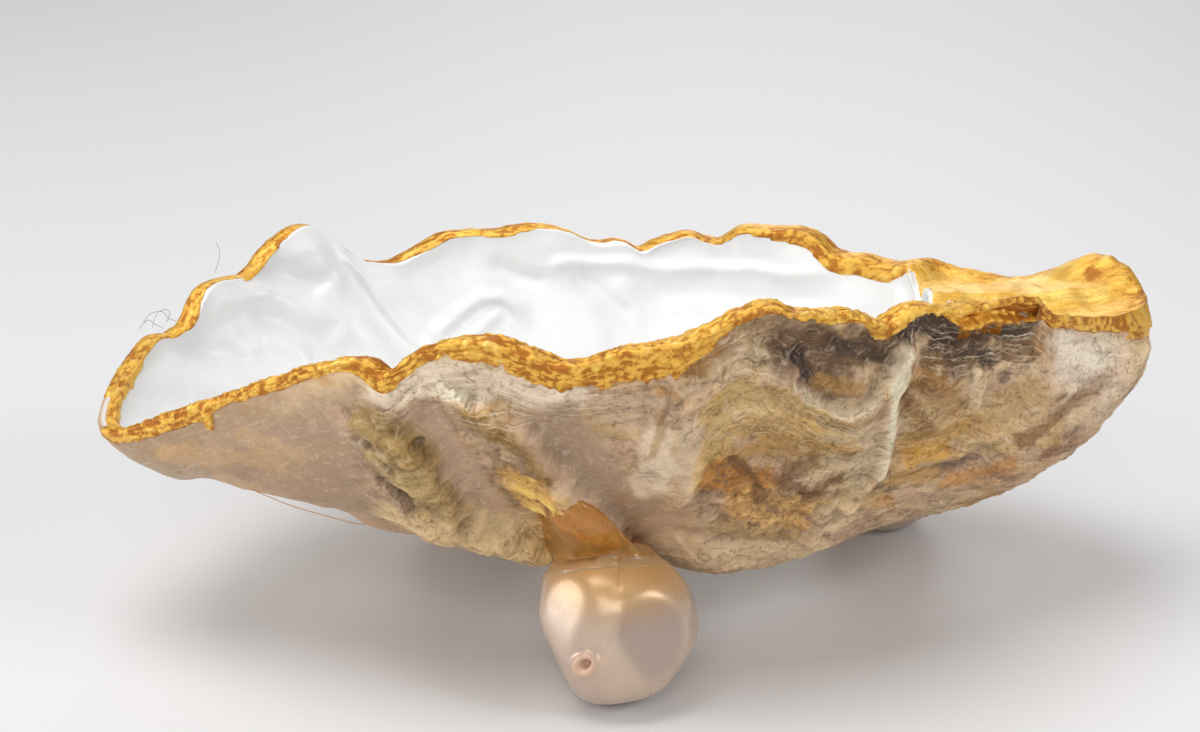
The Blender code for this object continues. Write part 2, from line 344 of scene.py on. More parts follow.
@dataclass
class ShellForm:
    """The shell's smooth form: a cup outside, a lip or hinge shelf, and a hollow inside.

    A place on it is a share of the way round the rim, from 0 to 1, and a way in: 0 at the belly's
    lowest point outside, 1 on the rim, 2 at the hollow's edge and 3 on the hollow's floor.
    """

    belly: Spot = (8, 0, 6)
    wall: float = 2.4
    lip_wall: float = 1.6
    hinge_line: float = 28.8
    corner: float = 25.0
    hinge_lean: float = 0.03
    shelf_height: float = 31.6
    shelf_tilt: float = -0.19
    shelf_blend: float = 0.2
    shelf_drop: float = 0.8
    undercut: float = 0.75
    thin_reach: float = 1.8
    flatness: Spot = (2.4, 1.5, 1.6)
    shoulder: Spot = (0.7, 0.48, 0.27)
    lip_zone: tuple[float, float] = (-8.0, -46.0)
    hinge_zone: tuple[float, float] = (22.0, 46.0)
    thin_zone: tuple[float, float] = (-10.0, -44.0)
    fold_width: float = 0.045
    lip_crown: float = 0.2
    fray: tuple[float, float] = (0.14, 0.1)
    coat: float = 0.25
    rim_steps: int = 2400
    map_ways: int = 301
    map_turns: int = 600
    grain: Grain = field(default_factory=lambda: Grain(7))

    def __post_init__(self) -> None:
        """Draw the rim, iron out its folds, and measure the surface."""
        self.rim = self.draw_rim() - (0.0, 0.0, self.coat)
        self.soft_rim = evened(self.rim, self.rim_steps * self.fold_width)
        coarse = self.rim + self.fray[0] * self.jitter(self.rim, 3.4)
        self.rim = coarse + self.fray[1] * self.jitter(coarse, 1.1)
        self.arc = self.measure()

    def draw_rim(self) -> Array:
        """Points at even steps along a smooth closed curve through the rim's knots.

        Returns:
            The points.
        """
        knots = np.array(RIM)
        before, after, later = np.roll(knots, 1, 0), np.roll(knots, -1, 0), np.roll(knots, -2, 0)
        steps = np.linspace(0, 1, 16, endpoint=False)[None, :, None]
        fine = spline(*(k[:, None, :] for k in (before, knots, after, later)), steps).reshape(-1, 3)
        fine = np.vstack([fine, fine[:1]])
        walked = np.linalg.norm(np.diff(fine, axis=0), axis=1)
        walked = np.concatenate([[0.0], np.cumsum(walked)])
        wanted = np.linspace(0.0, walked[-1], self.rim_steps, endpoint=False)
        return np.stack([np.interp(wanted, walked, fine[:, i]) for i in range(3)], axis=1)

    def jitter(self, points: Array, size: float) -> Array:
        """Small random moves, mostly up and down, for the broken edge of the rim.

        Args:
            points: points of the rim.
            size: width of the largest moves.

        Returns:
            The moves, one a point.
        """
        rise = self.grain.cloud(points, size, 2)
        out = self.grain.cloud(points + 40, size, 2) * 0.5
        spoke = unit(points[:, :2] - self.belly[:2])
        return np.concatenate([spoke * out[:, None], rise[:, None]], axis=1)

    def thin_edge(self, share: Array, way: Array) -> Array:
        """How much of a coat's depth fits at each point: little near the hinge shelf's thin edge.

        Args:
            share: share of the way round, one a turn.
            way: way in, rings by turns.

        Returns:
            From 0 to 1, rings by turns.
        """
        on_shelf = self.hollow_rim(self.read_rim(self.rim, share))[1]
        corner = np.full((1, len(share)), 2)
        gap = self.from_rim(share, way) - self.from_rim(share, corner)
        return 1 - 0.9 * on_shelf * bell(gap / self.thin_reach)

    def read_rim(self, curve: Array, share: Array) -> Array:
        """A closed curve of even steps, read at shares of the way round.

        Args:
            curve: the curve.
            share: share of the way round, one a turn.

        Returns:
            The points, one a turn.
        """
        place = (share % 1.0) * len(curve)
        first = np.floor(place).astype(int) % len(curve)
        part = (place - np.floor(place))[..., None]
        return curve[first] * (1 - part) + curve[(first + 1) % len(curve)] * part

    def along_shell(self, values: Spot, rim: Array) -> Array:
        """A value for each turn, from its values at the belly, the lip and the hinge."""
        lipward = blend(values[0], values[1], smooth(*self.lip_zone, rim[:, 0]))
        return blend(lipward, values[2], smooth(*self.hinge_zone, rim[:, 0]))

    def cup(self, edge: Array, soft: Array, lift: float, reach: Array) -> Array:
        """A cup under an edge, whose folds fade towards the belly.

        Args:
            edge: the cup's edge, one point a turn.
            soft: the same edge with its folds ironed out.
            lift: height of the cup's bottom over the shell's belly.
            reach: 0 at the belly and 1 at the edge, rings by turns.

        Returns:
            Points, rings by turns.
        """
        fade = (reach**2)[..., None]
        rim = edge * fade + soft * (1 - fade)
        across = np.sin(reach * math.pi / 2)
        flat = self.along_shell(self.flatness, edge)
        shoulder = self.along_shell(self.shoulder, edge)
        rise = 1 - np.clip(1 - across**flat, 0, 1) ** shoulder
        belly = np.array(self.belly)
        place = belly[:2] + (rim[..., :2] - belly[:2]) * across[..., None]
        bottom = belly[2] + lift
        height = bottom + (rim[..., 2] - bottom) * rise
        return np.concatenate([place, height[..., None]], axis=-1)

    def shelf_at(self, place: Array) -> Array:
        """Height of the hinge shelf at each place."""
        return self.shelf_height + self.shelf_tilt * place[..., 1]

    def hollow_rim(self, rim: Array) -> tuple[Array, Array, Array]:
        """The edge of the hollow: the rim set in by the wall, and cut short at the hinge shelf.

        Args:
            rim: the rim, one point a turn.

        Returns:
            The edge, how much each turn is on the shelf, and the length of its spoke that the
            shelf takes, as a share of the length that the hollow has.
        """
        spoke = rim[:, :2] - np.array(self.belly[:2])
        length = np.linalg.norm(spoke, axis=1, keepdims=True)
        wall = self.wall + (self.lip_wall - self.wall) * smooth(*self.thin_zone, rim[:, :1])
        inset = 1 - wall / length
        run = spoke[:, :1] - self.hinge_lean * spoke[:, 1:]
        cut = (self.hinge_line - self.belly[0]) / np.maximum(run, 1.0)
        share = -np.log(np.exp(-self.corner * inset) + np.exp(-self.corner * cut)) / self.corner
        edge = rim.copy()
        edge[:, :2] = self.belly[:2] + spoke * share
        on_shelf = smooth(0, self.shelf_blend, (inset - share)[:, 0])
        level = np.minimum(self.shelf_at(edge), rim[:, 2] - self.shelf_drop)
        edge[:, 2] += (level - edge[:, 2]) * on_shelf
        return edge, on_shelf, (inset / share - 1.0)[:, 0]

    def place(self, share: Array, way: Array) -> Array:
        """Points of the smooth form.

        Args:
            share: share of the way round, one a turn.
            way: way in, rings by turns.

        Returns:
            Points, rings by turns.
        """
        rim = self.read_rim(self.rim, share)
        soft = self.read_rim(self.soft_rim, share)
        edge, on_shelf, covered = self.hollow_rim(rim)
        soft_edge = self.hollow_rim(soft)[0]
        outside = self.cup(rim, soft, 0.0, np.clip(way, 0, 1))
        across = np.clip(way - 1.0, 0, 1)
        lip = rim + (edge - rim) * across[..., None]
        level = np.minimum(self.shelf_at(lip), rim[:, 2] - self.shelf_drop)
        lip[..., 2] += (level - lip[..., 2]) * on_shelf * smooth(0, 0.3, across)
        lip[..., 2] += self.lip_crown * np.sin(across * math.pi) * (1 - on_shelf)
        reach = np.clip(3.0 - way, 0, 1)
        hollow = self.cup(edge, soft_edge, self.wall, reach)
        under = self.undercut * np.sin(reach**2 * math.pi) * covered * smooth(1, 0.88, reach)
        belly = np.array(self.belly[:2])
        hollow[..., :2] += (hollow[..., :2] - belly) * under[..., None]
        chosen = np.where((way <= 1.0)[..., None], outside, lip)
        return np.where((way > 2.0)[..., None], hollow, chosen)

    def measure(self) -> Array:
        """Distance over the surface from the rim, for even steps of the way in, by turns.

        Returns:
            The distances, ways by turns.
        """
        ways = np.linspace(0, 3, self.map_ways)
        share = np.arange(self.map_turns) / self.map_turns
        grid = self.place(share, np.repeat(ways[:, None], self.map_turns, axis=1))
        step = np.linalg.norm(np.diff(grid, axis=0), axis=2)
        walked = np.concatenate([np.zeros((1, self.map_turns)), np.cumsum(step, axis=0)])
        at_rim = walked[self.map_ways // 3]
        return walked - at_rim

    def from_rim(self, share: Array, way: Array) -> Array:
        """Distance over the surface from the rim: below 0 outside, over 0 on the lip and inside.

        Args:
            share: share of the way round, one a turn.
            way: way in, rings by turns.

        Returns:
            Distances, rings by turns.
        """
        row = np.clip(way / 3.0, 0, 1) * (self.map_ways - 1)
        row_low = np.minimum(np.floor(row).astype(int), self.map_ways - 2)
        turn = np.broadcast_to((share % 1.0) * self.map_turns, way.shape)
        turn_low = np.floor(turn).astype(int) % self.map_turns
        turn_high = (turn_low + 1) % self.map_turns
        up, on = row - row_low, turn - np.floor(turn)
        low = self.arc[row_low, turn_low] * (1 - on) + self.arc[row_low, turn_high] * on
        high = self.arc[row_low + 1, turn_low] * (1 - on) + self.arc[row_low + 1, turn_high] * on
        return low * (1 - up) + high * up

    def way_at(self, share: Array, distance: Array) -> Array:
        """The way in at a distance over the surface from the rim.

        Args:
            share: share of the way round, one a turn.
            distance: the distance, one a turn.

        Returns:
            The way in, one a turn.
        """
        ways = np.linspace(0, 3, self.map_ways)
        columns = np.round((share % 1.0) * self.map_turns).astype(int) % self.map_turns
        found = [np.interp(d, self.arc[:, c], ways) for c, d in zip(columns, distance)]
        return np.array(found)


def normals_of(grid: Array, capped: bool) -> Array:
    """Unit normals of a grid of points that closes on itself round its turns.

    Args:
        grid: points, rings by turns.
        capped: whether the first and the last ring are single points, bottom and top.

    Returns:
        Normals, rings by turns.
    """
    along = np.roll(grid, -1, 1) - np.roll(grid, 1, 1)
    up = np.gradient(grid, axis=0)
    normal = np.cross(along, up)
    if capped:
        normal[0] = (0.0, 0.0, -1.0)
        normal[-1] = (0.0, 0.0, 1.0)
    return unit(normal)


@dataclass(frozen=True)
class Ridge:
    """A raised or sunken line across the front wall, given as X and Z. A negative height is a groove.

    left and right are its half widths on the left and the right of the line's run.
    """

    line: Line
    height: float
    left: float
    right: float


@dataclass(frozen=True)
class Dab:
    """A patch or streak of colour on the front wall, given as X and Z."""

    line: Line
    reach: float
    colour: Colour
    strength: float = 0.8
    ragged: float = 0.5


# The lower edge of the shelf-like growth layer on the front wall, as X and Z.
LEDGE: Line = (
    (2, 27), (3.6, 30.4), (5.6, 32.4), (8.2, 34), (11.2, 33.1), (13.3, 30.9), (15, 29.3), (17, 28),
    (18.8, 27.5), (20.3, 28.6), (21.6, 30.6), (22.9, 33.4),
)


@dataclass
class OuterRelief:
    """The grown relief of the shell's outside, over its smooth form."""

    form: ShellForm
    grain: Grain = field(default_factory=lambda: Grain(21))
    warp: tuple[float, float] = (0.4, 0.14)
    ridges: tuple[Ridge, ...] = (
        # First rib: lobes one under the other, then a broad bumpy foot, steep on the right.
        Ridge(((-24, 28.4), (-22.2, 27.6), (-20.2, 26)), 1.2, 0.7, 2),
        Ridge(((-22.4, 25.6), (-20, 24.8), (-18.4, 22.6)), 1, 0.6, 2.2),
        Ridge(((-20.6, 22.8), (-18.2, 20.4), (-17, 18.4)), 1.1, 0.7, 2.6),
        Ridge(((-19.6, 19), (-16.8, 16.6), (-14, 14.6), (-10.5, 13.2), (-7.6, 12.4)), 1.9, 0.8, 3.6),
        Ridge(((-18, 28.4), (-16.2, 24.6), (-14.6, 20.6), (-12.2, 16.6)), -1.3, 2.2, 1.5),
        # Second rib: a thin pale crest, steep on the right, with two cross folds.
        Ridge(
            ((-13.4, 30.6), (-11, 29.1), (-8.8, 27.2), (-7, 23.6), (-4.5, 20.2), (-1.6, 15.4)),
            1.9, 0.6, 2.9,
        ),
        Ridge(((-5.6, 28.6), (-4, 24.2), (-0.8, 18.8), (2.2, 15.2)), -1.3, 2.6, 1.9),
        Ridge(((-12.6, 26.4), (-10.6, 25.2), (-8.8, 25.4)), 0.6, 0.4, 1.2),
        Ridge(((-12, 21.4), (-10, 22.4), (-7.6, 20.6)), 0.55, 0.4, 1.3),
        Ridge(((-10.4, 17.8), (-8.6, 19.4), (-6.2, 18.4)), 0.4, 0.4, 1.1),
        # The shelf-like growth layer and the dark hollow over it.
        Ridge(LEDGE[1:], 0.9, 0.25, 1.5),
        Ridge(((15.4, 34), (17.4, 31.4), (19.6, 33.2)), -1.4, 2.5, 2.5),
        Ridge(((5.6, 33.6), (8.8, 35.2), (11.6, 34.6), (13.6, 32.4)), 0.55, 0.25, 0.9),
        Ridge(((6.4, 36), (9.6, 36.8), (12.6, 36)), 0.4, 0.3, 0.8),
        Ridge(((5, 28.4), (8.6, 29.6), (12, 28.9), (15.6, 26.4), (19.6, 24.6)), 0.5, 0.3, 1.5),
        Ridge(((22.9, 33.4), (21.9, 28.2), (22.2, 23.8), (21.9, 19.6), (19.4, 15.8)), 1, 0.9, 0.7),
        Ridge(((5.4, 26), (5.2, 22.4), (4, 19)), 0.5, 0.5, 1.1),
        # The wall to the right of it, and the lower edge.
        Ridge(((23.6, 34.6), (26.4, 33), (30.2, 34.2), (34, 32.6)), -0.6, 0.8, 0.8),
        Ridge(((24.4, 31), (27.2, 29.2), (31, 29.6), (35.6, 30.6)), 0.6, 0.4, 1.3),
        Ridge(((23.8, 27.4), (25, 24.6), (27.6, 24), (30.4, 25.4)), 0.5, 0.9, 0.5),
        Ridge(((24.2, 19.8), (26.6, 21.2), (29.6, 21), (33, 22.6)), 0.6, 0.5, 1.2),
        Ridge(((28, 18.2), (31, 18.4)), -0.5, 1, 1),
        Ridge(((31.4, 28.6), (31, 25.2), (32.6, 22)), 0.5, 0.6, 0.6),
        Ridge(((36.4, 31), (38, 27), (42, 24)), 0.4, 0.6, 1.4),
        # The open, flaky fold of the rim near the hinge: a hollow with a thick lip under it.
        Ridge(((28.4, 35.4), (30.4, 35.5), (33.1, 35.2), (35.3, 34.6), (36.2, 34)), -1.3, 0.6, 0.55),
        Ridge(
            ((27.2, 35.2), (29, 34.6), (31, 34.7), (33.2, 34), (35.5, 33.8), (37.2, 34.2)),
            0.9, 0.3, 0.5,
        ),
        Ridge(((19.4, 36.4), (20.8, 35.7), (22.6, 35.7), (24, 36.4)), 0.5, 0.3, 0.4),
        Ridge(((7, 10), (11, 9.5), (17, 11)), 1.2, 3.4, 4),
        Ridge(((-40, 15.4), (-34, 13.8), (-29, 12.4)), -1.5, 2.6, 2.6),
    )
    pits: tuple[Spot, ...] = (
        (-19.2, 25.7, 0.7), (19.2, 15, 0.55), (20.3, 17, 0.4), (17.4, 12.6, 0.5), (10.2, 15.8, 0.45),
        (23.4, 15.6, 0.4),
    )
    seats: tuple[tuple[float, float], ...] = ((-1.9, -15.8), (-15.5, 14.4), (27.3, 14))
    seat_depth: float = 0.9
    deepest: float = -0.75
    pit_depth: float = 1.1
    wave_height: float = 0.5
    rough_height: float = 0.09
    hinge_swell: float = 1.6
    ease: float = 0.12
    seat_width: float = 4.5
    bumpy: tuple[Patch, ...] = (
        (((-20, 18), (-15, 15), (-9, 12.6)), 2.6, 1),
        (((-9.6, 24), (-7.6, 19.6), (-5, 16.4)), 2.4, 1),
        (((-22, 26.6), (-19, 22.4)), 1.6, 1),
    )
    crust_at: Line = ((8.5, 20.5), (13, 17.5))
    crust_reach: float = 6.4

    def drift(self, points: Array) -> Array:
        """X and Z of each point, pushed about a little so that no edge runs straight.

        Args:
            points: the smooth form's points.

        Returns:
            The X and Z.
        """
        plane = points[..., [0, 2]].copy()
        for axis, shift in ((0, 0), (1, 50)):
            plane[..., axis] += self.warp[0] * self.grain.cloud(points + shift, 3, 2)
            plane[..., axis] += self.warp[1] * self.grain.cloud(points + shift + 9, 0.9, 2)
        return plane

    def front_of(self, points: Array) -> Array:
        """How much each point belongs to the front wall."""
        return smooth(0, -8, points[..., 1])

    def crust_of(self, points: Array) -> Array:
        """How much crust has grown at each point.

        Args:
            points: the smooth form's points.

        Returns:
            From 0 to 1 at each point.
        """
        away = np.abs(line_distance(self.drift(points), self.crust_at)[0]) / self.crust_reach
        away += 0.3 * self.grain.cloud(points, 3.2, 3)
        patch = smooth(1, 0.45, away) * self.front_of(points)
        rear = smooth(0.35, 0.75, self.grain.cloud(points + 70, 15, 3))
        return np.maximum(patch, 0.8 * rear * smooth(4, 14, points[..., 1]))

    def lift(self, points: Array, below: Array) -> Array:
        """How far the relief stands over the smooth form.

        Args:
            points: the smooth form's points.
            below: distance of each point below the rim.

        Returns:
            The lift at each point.
        """
        plane = self.drift(points)
        front = self.front_of(points)
        under_rim = smooth(0.1, 1.3, below)
        lift = np.zeros(below.shape)
        for ridge in self.ridges:
            away = line_distance(plane, ridge.line)[0]
            width = np.where(away >= 0.0, ridge.left, ridge.right)
            lift += ridge.height * bell(away / width) * front * under_rim
        crust = self.crust_of(points)
        lift += self.layers(points, below)
        lumps = self.grain.lumps(points, 2) * 0.5 + self.grain.lumps(points + 9, 0.9) * 0.3
        lift += crust * under_rim * (lumps + 0.35 * self.grain.cloud(points, 1.2, 3) - 0.15)
        knobs = 0.45 * self.grain.lumps(points + 4, 1.5) + 0.2 * self.grain.cloud(points, 1.1, 2)
        lift += knobs * under_rim * self.patches(points, self.bumpy, 1.0)
        for spot_x, spot_z, reach in self.pits:
            away = np.linalg.norm((plane - (spot_x, spot_z)) * (0.8, 1.25), axis=-1)
            lift -= self.pit_depth * front * smooth(reach, 0.3 * reach, away)
        lift += self.wave_height * self.grain.cloud(points + 5, 11, 3) * smooth(1, 9, below)
        rough = self.rough_height * self.rough_of(points)
        lift += under_rim * rough * self.grain.cloud(points, 1.5, 3, 0.55)
        for seat in self.seats:
            away = np.linalg.norm(points[..., :2] - np.array(seat), axis=-1)
            lift -= self.seat_depth * bell(away / self.seat_width)
        lift = lift + self.hinge_bulge(points)
        deepest = self.deepest - 0.45 * smooth(-24, -30, points[..., 0])
        return deepest + self.ease * np.logaddexp(0.0, (lift - deepest) / self.ease)

    def patches(self, points: Array, table: tuple[Patch, ...], start: float = 1.1) -> Array:
        """How strong the strongest of several soft patches on the front wall is.

        Args:
            points: the smooth form's points.
            table: the patches, each with its line, its reach and its strength.
            start: where a patch starts, as a share of its reach.

        Returns:
            From 0 to 1 at each point.
        """
        plane = self.drift(points)
        total = np.zeros(points.shape[:-1])
        for line, reach, strength in table:
            away = np.abs(line_distance(plane, line)[0]) / reach
            total = np.maximum(total, strength * smooth(start, 0.5, away))
        return total * self.front_of(points)

    def rough_of(self, points: Array) -> Array:
        """How rough the bare shell is: smooth at the lip, rough towards the hinge."""
        return 0.2 + 0.8 * smooth(-8, 6, points[..., 0])

    def growth(self, points: Array, below: Array) -> Array:
        """Distance in from the growing edge, which the thin layers follow.

        Args:
            points: the smooth form's points.
            below: distance of each point below the rim.

        Returns:
            The distance in millimetres.
        """
        away = line_distance(self.drift(points), LEDGE)[0]
        near = smooth(4.2, 1.2, np.abs(away + 1.0)) * smooth(25, 22.5, points[..., 0])
        near = near * self.front_of(points)
        follow = blend(below, 3.1 - away, near)
        waver = 1.1 * self.grain.cloud(points, 7, 2, 0.4) + 0.1 * self.grain.cloud(points, 1.7, 2)
        return follow + waver * (1 - 0.8 * near)

    def layers(self, points: Array, below: Array) -> Array:
        """Thin growth layers, each a low step that follows the rim.

        Args:
            points: the smooth form's points.
            below: distance of each point below the rim.

        Returns:
            How far they stand out at each point.
        """
        inward = self.growth(points, below)
        steps = np.zeros(below.shape)
        for spacing, height, shift in ((3.1, 0.32, 0), (1.3, 0.16, 0.4)):
            part = (inward / spacing + shift) % 1.0
            steps += height * (1 - part) * smooth(0, 0.12, part)
        patchy = smooth(-0.35, 0.35, self.grain.cloud(points + 33, 9, 2))
        calm = 1 - 0.85 * smooth(-20, -26, points[..., 0]) * self.front_of(points)
        return (steps - 0.22) * (0.25 + 0.75 * patchy) * calm * smooth(0.6, 2.5, below)

    def hinge_bulge(self, points: Array) -> Array:
        """The full, blunt end of the shell under the hinge."""
        swell = smooth(18.5, 25, points[..., 2]) * smooth(31.5, 27.5, points[..., 2])
        return self.hinge_swell * swell * smooth(40, 48, points[..., 0])


